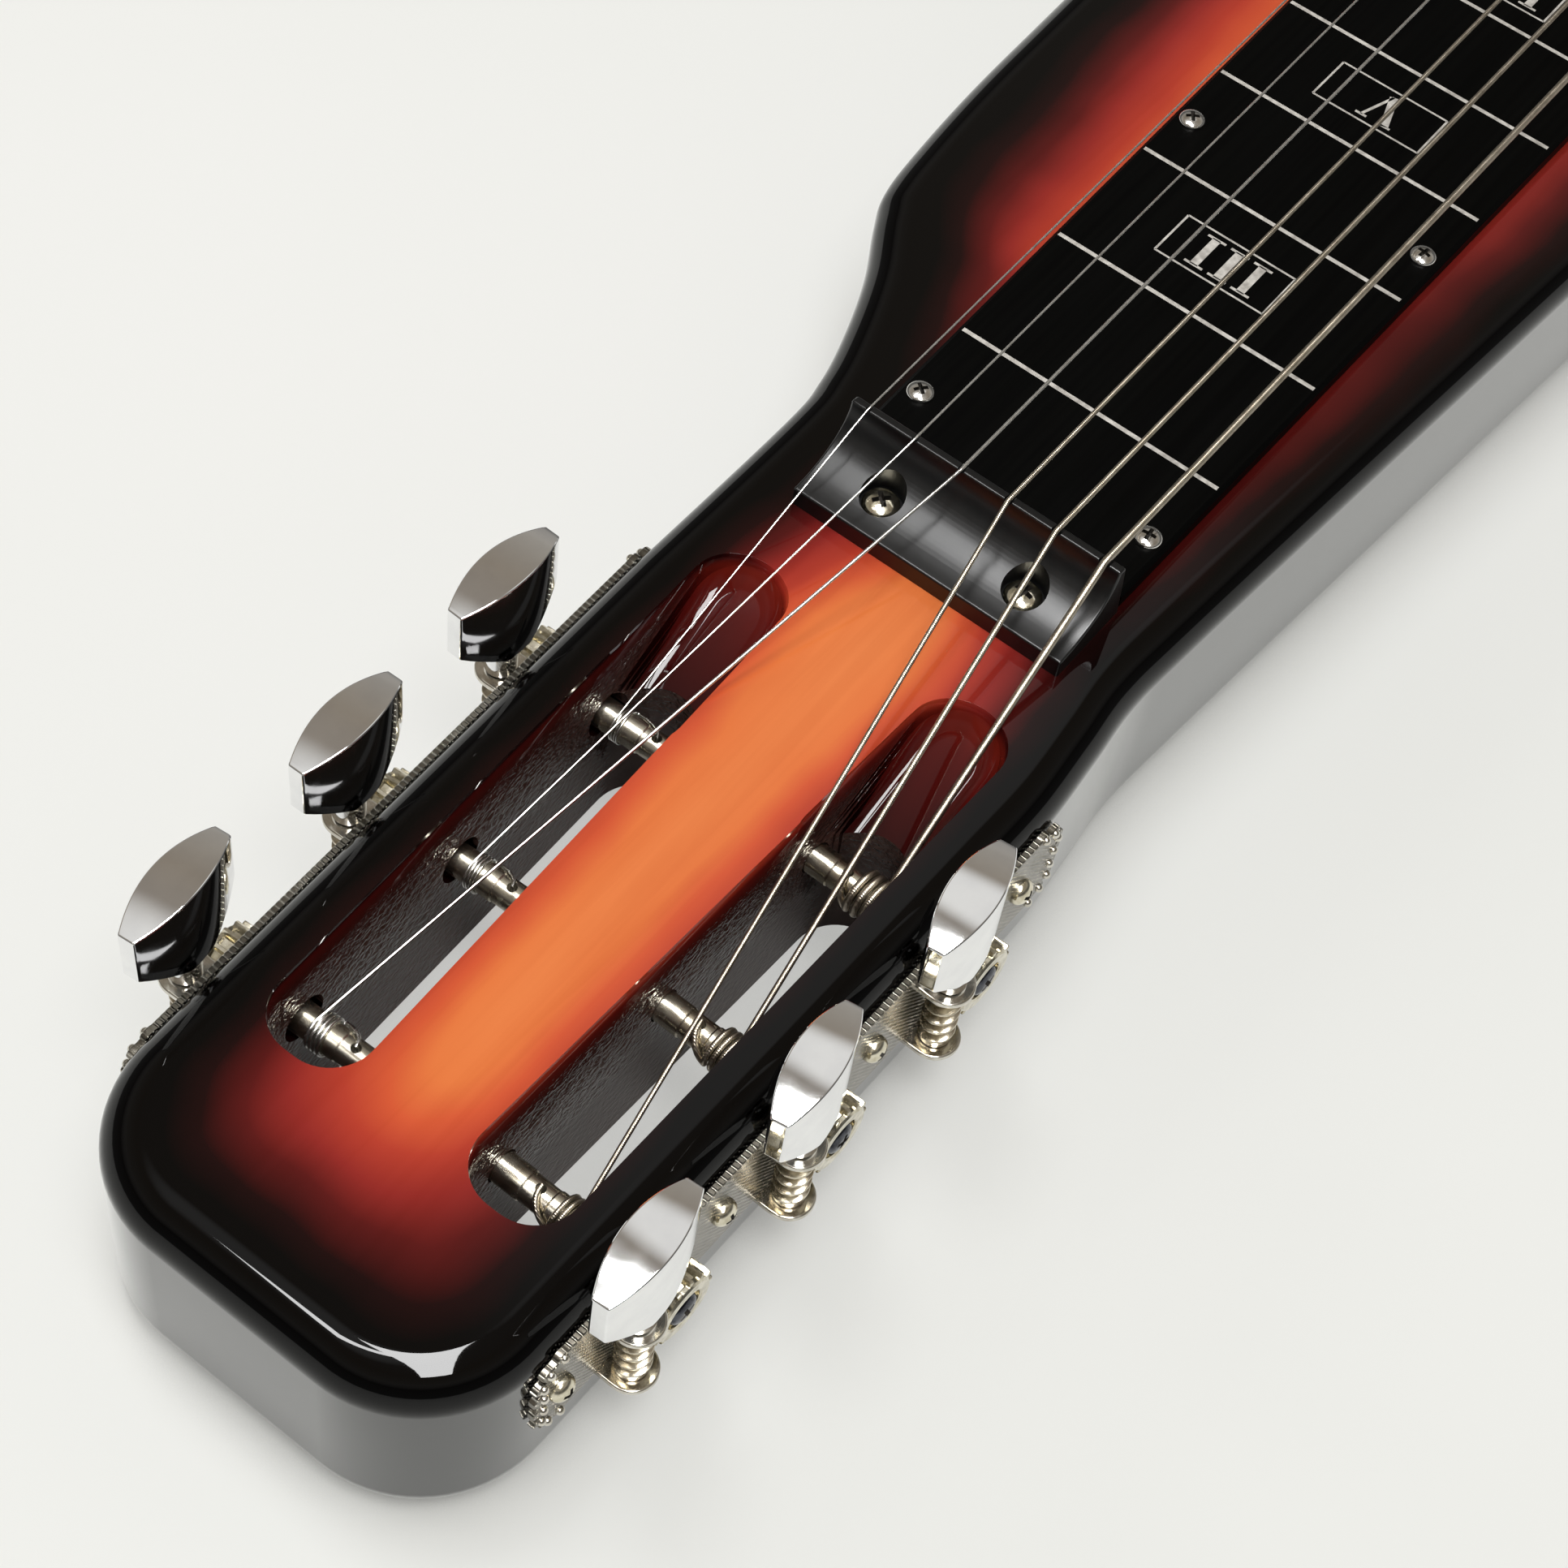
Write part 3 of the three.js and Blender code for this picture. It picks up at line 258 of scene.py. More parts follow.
def arc(middle, radius, start, end, steps):
    """Points round a middle from one angle, in degrees, to another."""
    turns = [math.radians(start + (end - start) * step / steps) for step in range(steps + 1)]
    return [(middle[0] + radius * math.cos(turn), middle[1] + radius * math.sin(turn)) for turn in turns]


def wall_half_width(x):
    return neck_half_width + (x - nut_x + neck_before_nut) * head_taper


def smooth_line(through, steps):
    """Points on one smooth line through the given ones."""
    line = []
    for index in range(len(through) - 1):
        a, b, c, d = (through[min(max(index + k, 0), len(through) - 1)] for k in (-1, 0, 1, 2))
        leave, arrive = (c - a) / 2, (d - b) / 2
        for step in range(steps):
            t = step / steps
            line.append((2 * b - 2 * c + leave + arrive) * t ** 3
                        + (3 * c - 3 * b - 2 * leave - arrive) * t ** 2 + leave * t + b)
    return line + [through[-1]]


def body_plan():
    length = tail_end - nut_x
    shoulder = [(0, 0), (0.2, 0.06), (0.4, 0.23), (0.62, 0.49), (0.81, 0.8), (0.93, 0.96), (1.12, 1.05)]
    thin_flank = [(0.051, 0.768), (0.104, 0.783), (0.245, 0.822), (0.422, 0.884), (0.598, 0.955)]
    thick_flank = [(0.096, 0.511), (0.239, 0.592), (0.366, 0.664), (0.494, 0.752), (0.589, 0.845),
                   (0.685, 0.945)]
    waist = [(0, 0.1), (0.25, 0), (0.5, 0.5), (0.72, 1), (1, 0.66)]
    tail = [(0.75, 0.99), (0.8, 1), (0.85, 0.99), (0.905, 0.93), (0.95, 0.8), (0.98, 0.6), (0.995, 0.32)]
    thin = [Vector((nut_x - neck_before_nut, neck_half_width))]
    thin += [Vector((nut_x + a * shoulder_length, neck_half_width + b * shoulder_step)) for a, b in shoulder]
    thin += [Vector((nut_x + shoulder_length + a * (length - shoulder_length), b * body_half_width))
             for a, b in thin_flank]
    thin += [Vector((nut_x + a * length, b * body_half_width)) for a, b in tail]
    thick = [Vector((nut_x - waist_before_nut + a * waist_length, b * waist_depth - neck_half_width))
             for a, b in waist]
    thick += [Vector((nut_x + a * length, -b * body_half_width)) for a, b in thick_flank + tail]
    plan = smooth_line(thin + [Vector((tail_end, 0))] + thick[::-1], 7)
    for point in plan:
        point.y = min(max(point.y, -body_half_width), body_half_width)
    middle_x, middle_y = head_end + head_corner, head_end_half_width - head_corner
    return (plan + arc((middle_x, -middle_y), head_corner, 270, 180, 18)
            + arc((middle_x, middle_y), head_corner, 180, 90, 18))


def extruded(corners, way):
    """A solid swept from a flat face with those corners."""
    solid = bmesh.new()
    solid.faces.new([solid.verts.new(corner) for corner in corners])
    grown = bmesh.ops.extrude_face_region(solid, geom=solid.faces[:])["geom"]
    bmesh.ops.translate(solid, verts=[v for v in grown if isinstance(v, bmesh.types.BMVert)], vec=way)
    bmesh.ops.recalc_face_normals(solid, faces=solid.faces)
    return solid


def raise_plan(plan, low, high):
    """A solid with that plan between two heights."""
    return extruded([(along, across, low) for along, across in plan], (0, 0, high - low))


def at(x, y, z):
    return Matrix.Translation((x, y, z))


def box(size, place, solid=None):
    """A block with its middle placed there, in a solid of its own or added to one."""
    solid = bmesh.new() if solid is None else solid
    bmesh.ops.create_cube(solid, size=1.0, matrix=place @ Matrix.Diagonal((*size, 1)))
    return solid


def rod(radius, length, place, segments=28, end_radius=None):
    """A round rod with its middle placed there, along the place's Z."""
    solid = bmesh.new()
    bmesh.ops.create_cone(solid, cap_ends=True, segments=segments, radius1=radius,
                          radius2=end_radius or radius, depth=length, matrix=place)
    return solid


def moved(solid, matrix):
    bmesh.ops.transform(solid, verts=solid.verts, matrix=matrix)
    return solid


def round_edges(solid, edges, radius, segments=3, clamp=True):
    bmesh.ops.bevel(solid, geom=edges, offset=radius, segments=segments, profile=0.5, affect="EDGES",
                    clamp_overlap=clamp, material=-1)


def carve(made, *solids):
    """Cuts the solids out of a piece and clears them away."""
    cutters = [make_object("cutter", solid) for solid in solids]
    for cutter in cutters:
        cut = made.modifiers.new("cut", "BOOLEAN")
        cut.operation, cut.solver, cut.object = "DIFFERENCE", "EXACT", cutter
    carved = bpy.data.meshes.new_from_object(made.evaluated_get(bpy.context.evaluated_depsgraph_get()))
    made.modifiers.clear()
    made.data = carved
    for cutter in cutters:
        bpy.data.objects.remove(cutter)


def dress(made, finish, stands_for=(), body="guitar", sharp=30):
    """Smooth shading, the finish, the body it rides on and the CAD nodes it stands for."""
    made.data.shade_smooth()
    made.data.set_sharp_from_angle(angle=math.radians(sharp))
    made.data.materials.append(finish)
    even = made.modifiers.new("even_normals", "WEIGHTED_NORMAL")
    even.keep_sharp = True
    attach(made, body)
    if stands_for:
        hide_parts(*stands_for)


def slot_plan(side, nut_end, head_x=slot_start):
    """Plan of one string slot: rounded corners at the head, a full round at the nut end."""
    def outer(x):
        return wall_half_width(x) - rail_width

    def inner(x):
        return beam_half_start + beam_growth * (x - slot_start) / (scoop_end - slot_start)

    corner = 8 * mm
    reach = (outer(nut_end) - inner(nut_end)) / 2
    middle_x = nut_end - reach
    middle_y = (outer(middle_x) + inner(middle_x)) / 2
    plan = (arc((head_x + corner, outer(head_x) - corner), corner, 90, 180, 12)
            + arc((head_x + corner, inner(head_x) + corner), corner, 180, 270, 12)
            + arc((middle_x, middle_y), reach, -90, 90, 24))
    return [(x, side * y) for x, y in plan]


def scoop_cutter(side):
    """The bowl at a slot's nut end, whose floor runs down towards the head."""
    solid = raise_plan(slot_plan(side, scoop_end, scoop_start), 4 * mm, deck + 8 * mm)
    slope = Vector((-11.6, 0, 23)).normalized()
    cut = bmesh.ops.bisect_plane(solid, geom=solid.verts[:] + solid.edges[:] + solid.faces[:],
                                 plane_co=(scoop_end, 0, deck - 2.4 * mm), plane_no=slope, clear_inner=True)
    rim = [e for e in cut["geom_cut"] if isinstance(e, bmesh.types.BMEdge)]
    bmesh.ops.holes_fill(solid, edges=rim)
    bmesh.ops.recalc_face_normals(solid, faces=solid.faces)
    round_edges(solid, [e for e in rim if e.is_valid], 4.6 * mm, 7)
    return solid


def wall_matrix(side, offset=0.0):
    """To the guitar's frame from a head wall's: X along the wall, Y outwards, Z up from the posts."""
    stand = at(head_middle, side * wall_half_width(head_middle), post_height)
    return (stand @ Matrix.Rotation(side * head_turn, 4, "Z") @ at(offset, 0, 0)
            @ Matrix.Diagonal((1, side, 1, 1)))


def on_wall(side, solid, offset=0.0):
    moved(solid, wall_matrix(side, offset))
    bmesh.ops.recalc_face_normals(solid, faces=solid.faces)
    return solid


lay_out = Matrix.Rotation(-math.pi / 2, 4, "X")


def pin(radius, start, end, segments=28, end_radius=None):
    """A round pin along +Y from start to end."""
    place = at(0, (start + end) / 2, 0) @ lay_out
    return rod(radius, end - start, place, segments, end_radius)


def merged(solids):
    """Several solids in one mesh."""
    whole = bmesh.new()
    for solid in solids:
        loose = bpy.data.meshes.new("loose")
        solid.to_mesh(loose)
        solid.free()
        whole.from_mesh(loose)
        bpy.data.meshes.remove(loose)
    return whole


def sanded_plank(plan):
    """The plank, its long edges sanded over from the upright sides into the flat faces."""
    turns = [math.pi / 2 * step / 14 for step in range(15)]
    edge = [(7.2 * (1 - math.cos(turn)), 14.2999 + 7.2 * math.sin(turn)) for turn in turns]
    solid = raise_plan(plan, deck / 2 - edge[0][1] * mm, deck / 2 + edge[0][1] * mm)
    for way in (1, -1):
        face = max(solid.faces, key=lambda f: f.normal.z * way * f.calc_area())
        for (inset, height), (next_inset, next_height) in zip(edge, edge[1:]):
            bmesh.ops.inset_region(solid, faces=[face], thickness=(next_inset - inset) * mm,
                                   depth=(next_height - height) * mm, use_even_offset=True)
    return solid


plank = make_object("lacquered_body", sanded_plank(body_plan()))
through = [raise_plan(slot_plan(side, slot_end), -3 * mm, deck + 3 * mm) for side in (1, -1)]
scoops = [scoop_cutter(side) for side in (1, -1)]
bores = []
for side in (1, -1):
    for offset in post_offsets:
        bores.append(on_wall(side, pin(4.4 * mm, -rail_width - 2 * mm, 2 * mm), offset))
        bores.append(on_wall(side, pin(3.1 * mm, -33.5 * mm, -rail_width - 2.5 * mm), offset))
carve(plank, *through, *scoops, merged(bores))

# The slots' rims are broken by hand before the stain, so their edges are soft.
shaped = bmesh.new()
shaped.from_mesh(plank.data)
bmesh.ops.remove_doubles(shaped, verts=shaped.verts, dist=0.005 * mm)
rims = []
for edge in shaped.edges:
    a, b = (v.co for v in edge.verts)
    level = abs(a.z - b.z) < 0.01 * mm and (abs(a.z - deck) < 0.01 * mm or abs(a.z) < 0.01 * mm)
    inside = max(a.x, b.x) < -250 * mm and max(abs(a.y), abs(b.y)) < 31.5 * mm and min(a.x, b.x) > -371 * mm
    if level and inside and edge.is_manifold and edge.calc_face_angle(0) > math.radians(25):
        rims.append(edge)
round_edges(shaped, rims, 0.9 * mm, 4)
shaped.to_mesh(plank.data)
shaped.free()

# Pockets under the pickup cover and the control plate, with a channel for the lead between them
plate_x, plate_y, pickup_x = 271.5 * mm, -58.98 * mm, 295.5 * mm
pockets = []
for low, high in (
    ((pickup_x - 13.3 * mm, -39.3 * mm, 27 * mm), (pickup_x + 13.3 * mm, 39.3 * mm, deck + 2 * mm)),
    ((plate_x - 60 * mm, plate_y - 9.5 * mm, 13 * mm),
     (plate_x + 60 * mm, plate_y + 9.5 * mm, deck + 2 * mm)),
    ((pickup_x - 2.7 * mm, plate_y + 5 * mm, 27 * mm), (pickup_x + 2.7 * mm, -37 * mm, 32.4 * mm)),
):
    low, high = Vector(low), Vector(high)
    pockets.append(box(high - low, Matrix.Translation((low + high) / 2)))
carve(plank, *pockets)

lacquer = new_finish("sunburst_lacquer", Coat_Weight=1.0, Coat_Roughness=0.03, Coat_IOR=1.33,
                     Specular_IOR_Level=0.0)
x, y, z = axes("Object")


def edge_line(points):
    """The body's half width along X, in metres, for the spray to follow."""
    share = spread(x, 0.0, 1.0, head_end, tail_end)
    node = add("FloatCurve", {"Value": share})
    curve = node.mapping.curves[0]
    curve.points[0].location = (0, points[0][1] / 100)
    curve.points[1].location = (1, points[-1][1] / 100)
    for along, half in points[1:-1]:
        curve.points.new((along * mm - head_end) / (tail_end - head_end), half / 100)
    node.mapping.update()
    return calc("MULTIPLY", node.outputs[0], 0.1)


thin_line = edge_line([(-404, 39), (-364, 39), (-264, 41), (-230, 41), (-205, 42), (-190, 47), (-176, 54),
                       (-160, 61), (-144, 64), (-104, 66), (-24, 69), (76, 74), (176, 80), (278, 84),
                       (330, 81), (360, 72), (385, 55), (398, 32), (404, 5)])
thick_line = edge_line([(-404, 39), (-364, 39), (-264, 41), (-230, 42), (-200, 46), (-164, 50), (-110, 54),
                        (-74, 56), (6, 61), (86, 67), (146, 74), (206, 80), (278, 84), (330, 81), (360, 72),
                        (385, 55), (398, 32), (404, 5)])
cloud = spread(mottle(34, 2.0), -2.4 * mm, 2.4 * mm, 0.25, 0.75)
from_thin = calc("SUBTRACT", thin_line, y)
from_thick = calc("ADD", thick_line, y)
from_head = calc("SUBTRACT", x, head_end)
from_tail = calc("SUBTRACT", tail_end, x)
on_head = spread(x, 1.13, 0.95, -256 * mm, -236 * mm)
across = calc("MULTIPLY", calc("SMOOTH_MIN", from_thin, from_thick, 10 * mm), on_head)
along = calc("SMOOTH_MIN", from_head, from_tail, 10 * mm)
inward = calc("ADD", calc("SMOOTH_MIN", across, along, 26 * mm), cloud)
burst = ramp(spread(inward, 0.0, 1.0, 0.0, 50 * mm), [
    (0.0, (2, 1, 1)), (0.19, (3, 2, 2)), (0.28, (30, 8, 8)), (0.39, (92, 24, 23)),
    (0.49, (148, 44, 39)), (0.59, (184, 64, 47)), (0.68, (214, 92, 56)),
    (0.76, (230, 124, 67)), (0.86, (234, 132, 73)), (1.0, (236, 137, 78))])
grain = mottle(3.2, 4.0, (0.05, 1, 0.4), 0.6)
streaks = ramp(grain, [(0.32, (0.90, 0.82, 0.76, 1)), (0.56, (1, 1, 1, 1))])
flame = ramp(mottle(22, 2.0, (0.35, 1, 1), 1.2), [(0.3, (0.94, 0.86, 0.82, 1)), (0.7, (1, 1, 1, 1))])
stained = mix("MULTIPLY", 0.85, mix("MULTIPLY", 0.6, burst, streaks), flame)
depth = calc("SUBTRACT", deck, z)
down_wall = ramp(spread(depth, 0.0, 1.0, 0.2 * mm, 9 * mm), [
    (0.0, (1, 1, 1, 1)), (0.12, (0.62, 0.46, 0.46, 1)), (0.35, (0.13, 0.05, 0.05, 1)), (1.0, (0, 0, 0, 1))])
walled = mix("MULTIPLY", 1.0, stained, down_wall)
# The slot walls' own colour: black at the rim, then dark maroon, then greyer and lighter towards the bottom.
# That lighter bottom is partly a painted reflection of the pale table under the slots.
under = ramp(spread(depth, 0.0, 1.0, 0.5 * mm, 16 * mm),
             [(0.0, (0, 0, 0)), (0.1, (66, 15, 13)), (0.35, (54, 22, 19)), (1.0, (76, 56, 51))])
in_slots = calc("MULTIPLY", spread(inward, 0.0, 1.0, 7.5 * mm, 9.5 * mm),
                spread(x, 1.0, 0.0, -250 * mm, -245 * mm))
dark = mix("ADD", 1.0, walled, mix("MIX", in_slots, paint(0, 0, 0), under))
# The scoops' floors face upwards below the deck, and the stain pools there as a deep maroon.
faces_up = axes("Normal")["Z"]
floor_share = calc("MULTIPLY", spread(faces_up, 0.0, 1.0, 0.1, 0.55),
                   calc("MULTIPLY", in_slots, spread(depth, 0.0, 1.0, 0.9 * mm, 2.2 * mm)))
bowl = ramp(spread(depth, 0.0, 1.0, 1 * mm, 16 * mm),
            [(0.0, (122, 34, 22)), (0.3, (92, 20, 17)), (0.75, (66, 14, 13)), (1.0, (40, 10, 10))])
floors = mix("MIX", floor_share, dark, bowl)
# The black on the upright sides lies thick and mirrors like black glass when seen at a slant.
on_sides = calc("MULTIPLY", spread(depth, 0.0, 0.85, 3.5 * mm, 7 * mm), calc("SUBTRACT", 1.0, in_slots))
gloss = spread(mottle(6, 4.0), 0.22, 0.34)
feed(Base_Color=floors, Metallic=on_sides, Roughness=calc("MULTIPLY", gloss, spread(on_sides, 1.0, 0.45)))
# Lacquer lies flat on the deck. Down the routed walls it first leans in from the rim, then wrinkles
# into an orange peel, and runs smooth again near the bottom.
walls_only = calc("MULTIPLY", in_slots, spread(faces_up, 1.0, 0.0, 0.25, 0.5))
left_down = spread(depth, 1.0, 0.0, 0.8 * mm, 20 * mm)
lean = calc("MULTIPLY", calc("SUBTRACT", 1.0, calc("MULTIPLY", left_down, left_down)), 3.8)
wrinkles = spread(mottle(1.3, 2.0, (1, 1, 1.3), 0.5), 0.0, 0.24, 0.36, 0.64)
peel_band = calc("MULTIPLY", spread(depth, 0.0, 1.0, 4 * mm, 9 * mm),
                 spread(depth, 1.0, 0.12, 17 * mm, 27 * mm))
down_walls = calc("ADD", lean, calc("MULTIPLY", wrinkles, peel_band))
calm = spread(mottle(14, 3.0), 0.0, 0.012)
feed(Coat_Normal=relief(calc("MULTIPLY_ADD", down_walls, walls_only, calm), 1.0, 1))
dress(plank, lacquer, ["body"], sharp=40)

# Fretboard: a flat moulded plate in matt black, screwed down on the deck. Its fret lines, position
# boxes and plain Roman numerals are printed on it in silver.
board_top = 47 * mm
scale_length = 571.5 * mm
board_start, board_end = -221.5 * mm, 228.5 * mm
board_half_start, board_half_end = 26.975 * mm, 34.975 * mm
fret_count = 24
numerals = {3: "III", 5: "V", 7: "VII", 9: "IX", 12: "XII", 15: "XV", 17: "XVII", 19: "XIX", 21: "XXI",
            24: "XXIV"}
print_thick = 0.07 * mm

board_black = new_finish("board_black", Specular_IOR_Level=0.04)
grain = mottle(1.1, 5.0, (0.02, 1, 1))
feed(Base_Color=ramp(grain, [(0.3, (1, 1, 1)), (0.7, (5, 5, 4))]),
     Roughness=spread(mottle(5, 4.0, (0.3, 1, 1)), 0.34, 0.46))
relief(grain, 0.25, 0.05)


def recolour(nodes, finish):
    """Gives kept CAD nodes their finish."""
    for node in nodes:
        for material_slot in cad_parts[node].material_slots:
            material_slot.material = finish


recolour(["fretboard"], board_black)


def board_half(x):
    share = (x - board_start) / (board_end - board_start)
    return board_half_start + (board_half_end - board_half_start) * share


def fret_x(number):
    return nut_x + scale_length * (1 - 2 ** (-number / 12))


def strip(solid, start, end, width, lean=0.0):
    """A printed bar on the board from start to end, with its ends square to Y or leaning."""
    start, end = Vector((*start, board_top)), Vector((*end, board_top))
    along = end - start
    place = Matrix.Translation((start + end) / 2) @ Matrix.Rotation(math.atan2(along.y, along.x), 4, "Z")
    skew = Matrix(((1, lean, 0, 0), (0, 1, 0, 0), (0, 0, 1, 0), (0, 0, 0, 1)))
    box((along.length, width, print_thick), place @ skew, solid)


def print_numeral(solid, letters, middle_x, middle_y, height):
    """Slab-serif numerals, read from the thick strings with their tops towards the head."""
    widths = {"I": 0.62, "V": 0.92, "X": 0.92}
    total = sum(widths[letter] for letter in letters) * height
    y = middle_y + total / 2
    low, high = middle_x + height / 2, middle_x - height / 2
    serif = 0.07 * height
    thick, thin = 0.2 * height, 0.07 * height
    for letter in letters:
        wide = widths[letter] * height
        centre = y - wide / 2
        y -= wide
        if letter == "I":
            strip(solid, (low, centre), (high, centre), thick)
            for level in (low, high):
                strip(solid, (level, centre - 0.24 * height), (level, centre + 0.24 * height), serif)
        else:
            reach = 0.32 * height
            strip(solid, (high, centre - reach), (low, centre if letter == "V" else centre + reach), thick)
            strip(solid, (high, centre + reach), (low, centre if letter == "V" else centre - reach), thin)
            for side in (-1, 1):
                for level in (high,) if letter == "V" else (high, low):
                    middle = centre + side * reach
                    strip(solid, (level, middle - 0.15 * height), (level, middle + 0.15 * height), serif)


def box_line(solid, low_x, high_x, low_y, high_y, width):
    for x_place in (low_x, high_x):
        strip(solid, (x_place, low_y), (x_place, high_y), width)
    for y_place in (low_y, high_y):
        strip(solid, (low_x, y_place), (high_x, y_place), width)


lines = bmesh.new()
for number in range(1, fret_count + 1):
    reach = board_half(fret_x(number)) - 0.9 * mm
    strip(lines, (fret_x(number), -reach), (fret_x(number), reach), 0.85 * mm)
marks = bmesh.new()
for number, letters in numerals.items():
    middle = (fret_x(number) + fret_x(number - 1)) / 2
    gap = fret_x(number) - fret_x(number - 1)
    height = min(8 * mm, 0.5 * gap)
    half_x = min(5.6 * mm, 0.38 * gap)
    half_y = max(11.5 * mm, 0.42 * height * len(letters))
    print_numeral(marks, letters, middle, 0.0, height)
    box_line(marks, middle - half_x, middle + half_x, 0.7 * mm - half_y, 0.7 * mm + half_y, 0.42 * mm)


def mottled(name, dark, light, spots, rough, rough_spots, **sockets):
    """A material of two shades with an uneven gloss, its spots given as mottle takes them."""
    finish = new_finish(name, **sockets)
    feed(Base_Color=ramp(mottle(*spots), [(0.3, dark), (0.7, light)]),
         Roughness=spread(mottle(*rough_spots), *rough))
    return finish


print_silver = mottled("print_silver", (168, 164, 158), (222, 219, 213), (1.4, 4.0), (0.38, 0.55), (3, 3.0),
                       Metallic=0.25)
for name, solid in (("fret_lines", lines), ("position_marks", marks)):
    made = make_object(name, solid)
    made.data.materials.append(print_silver)
    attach(made, "guitar")

# Board screws: small oval-head cross-slot wood screws, chromed, along both edges of the board. They
# hold the plate down on the deck, and their cross recesses are darkened with painted shade.
screw_places = [15.2 * mm, 103 * mm, 191 * mm, 279 * mm, 367 * mm, 440 * mm]
screw_from_edge = 3.64 * mm


def spun(profile, steps=32):
    """A turned solid about Z from radius and height pairs that start and end on the axis."""
    solid = bmesh.new()
    rim = [solid.verts.new((radius, 0, height)) for radius, height in profile]
    edges = [solid.edges.new(pair) for pair in zip(rim, rim[1:])]
    bmesh.ops.spin(solid, geom=rim + edges, cent=(0, 0, 0), axis=(0, 0, 1), angle=2 * math.pi, steps=steps,
                   use_merge=True)
    bmesh.ops.remove_doubles(solid, verts=solid.verts, dist=1e-7)
    bmesh.ops.recalc_face_normals(solid, faces=solid.faces)
    return solid


def cross_screw(radius, rise, sink=0.0, flat_share=0.0):
    """A screw head about Z: a domed cap on a short rim, with a tapered cross recess."""
    profile = [(0, -0.5 * mm), (radius * 0.55, -0.5 * mm), (radius * 0.96, -sink),
               (radius, -sink + 0.05 * mm), (radius, -sink + 0.22 * mm)]
    for step in range(1, 9):
        turn = math.pi / 2 * step / 8
        share = math.cos(turn) * (1 - flat_share) + flat_share if step < 8 else 0
        profile.append((radius * share, -sink + 0.22 * mm + rise * math.sin(turn)))
    head = make_object("screw_head", spun(profile, 36))
    top = rise - sink + 0.22 * mm
    arms = []
    for turn in (0, math.pi / 2):
        arm = box((1.6 * radius, 0.42 * radius, 0.9 * rise + 1.0 * mm),
                  Matrix.Rotation(turn, 4, "Z") @ at(0, 0, top + 0.1 * mm))
        for vert in arm.verts:
            if vert.co.z < top:
                vert.co.x *= 0.45
                vert.co.y *= 0.45
        arms.append(arm)
    carve(head, *arms)
    solid = bmesh.new()
    solid.from_mesh(head.data)
    bpy.data.objects.remove(head)
    # The faces of the cross recess take the second material, a painted shade.
    for face in solid.faces:
        spot = face.calc_center_median()
        share = min(math.hypot(spot.x, spot.y) / radius, 1.0)
        dome = 0.22 * mm - sink + rise * math.sqrt(1 - (max(share - flat_share, 0.0) / (1 - flat_share)) ** 2)
        face.material_index = int(share < 0.88 and -sink < spot.z < dome - 0.07 * mm)
    return solid


def stamp(master, places):
    """One mesh with a copy of the master at each place."""
    loose = bpy.data.meshes.new("master")
    master.to_mesh(loose)
    copies = []
    for place in places:
        copy = bmesh.new()
        copy.from_mesh(loose)
        copies.append(moved(copy, place))
    bpy.data.meshes.remove(loose)
    return merged(copies)


def plated(name, light, dark, rough, spot=2.5, **sockets):
    """A plated metal: slow colour clouds, fine wipe marks and a slightly uneven gloss."""
    finish = new_finish(name, Metallic=1.0, **sockets)
    feed(Base_Color=ramp(mottle(spot, 4.0), [(0.32, dark), (0.62, light)]),
         Roughness=spread(mottle(spot * 0.4, 5.0, (1, 1, 0.4)), *rough, 0.3, 0.7))
    relief(mottle(spot * 1.6, 2.0), 0.12, 0.06)
    return finish


def dress_screw(made, finish, stands_for=(), body="guitar"):
    """A dressed screw, its cross recess darkened with painted shade."""
    dress(made, finish, stands_for, body)
    made.data.materials.append(recess_painted_shade)


# Painted shade for the screws' cross recesses: a dark mottled metal.
recess_painted_shade = mottled("recess_painted_shade", (16, 14, 12), (52, 47, 40), (0.7, 4.0), (0.4, 0.6), (0.9, 3.0),
                       Metallic=0.6)
screw_chrome = plated("screw_chrome", (232, 230, 226), (205, 202, 196), (0.1, 0.2), 1.2)
places = []
for index, past_nut in enumerate(screw_places):
    for side in (-1, 1):
        x_place = nut_x + past_nut
        places.append(at(x_place, side * (board_half(x_place) - screw_from_edge), board_top)
                      @ Matrix.Rotation(0.5 + 1.3 * index + side * 0.4, 4, "Z"))
board_screws = make_object("board_screws", stamp(cross_screw(2.5 * mm, 1.05 * mm), places))
dress_screw(board_screws, screw_chrome)

# Nut: one black moulding screwed through the deck. Its top sweeps up in a hollow curve from a low
# front to the ridge, which has a groove for each string and stands taller than the board.
nut_half = 27.175 * mm
nut_front, nut_front_height, nut_height = 15.8 * mm, 3.8 * mm, 13.6 * mm
ridge_width, nut_back = 1.5 * mm, 2.3 * mm
string_radii = [d / 2 * mm for d in (0.38, 0.46, 0.66, 0.91, 1.07, 1.42)]
nut_spacing, bridge_spacing = 9.55 * mm, 11.57 * mm
nut_screw_x = nut_x - 8.2 * mm
nut_screw_y = 14.5 * mm


def string_y(index, spacing):
    return (2.5 - index) * spacing


def side_prism(points, low_y, high_y):
    """A solid with that side view, in X and Z, between two Ys."""
    return extruded([(along, low_y, level) for along, level in points], (0, high_y - low_y, 0))


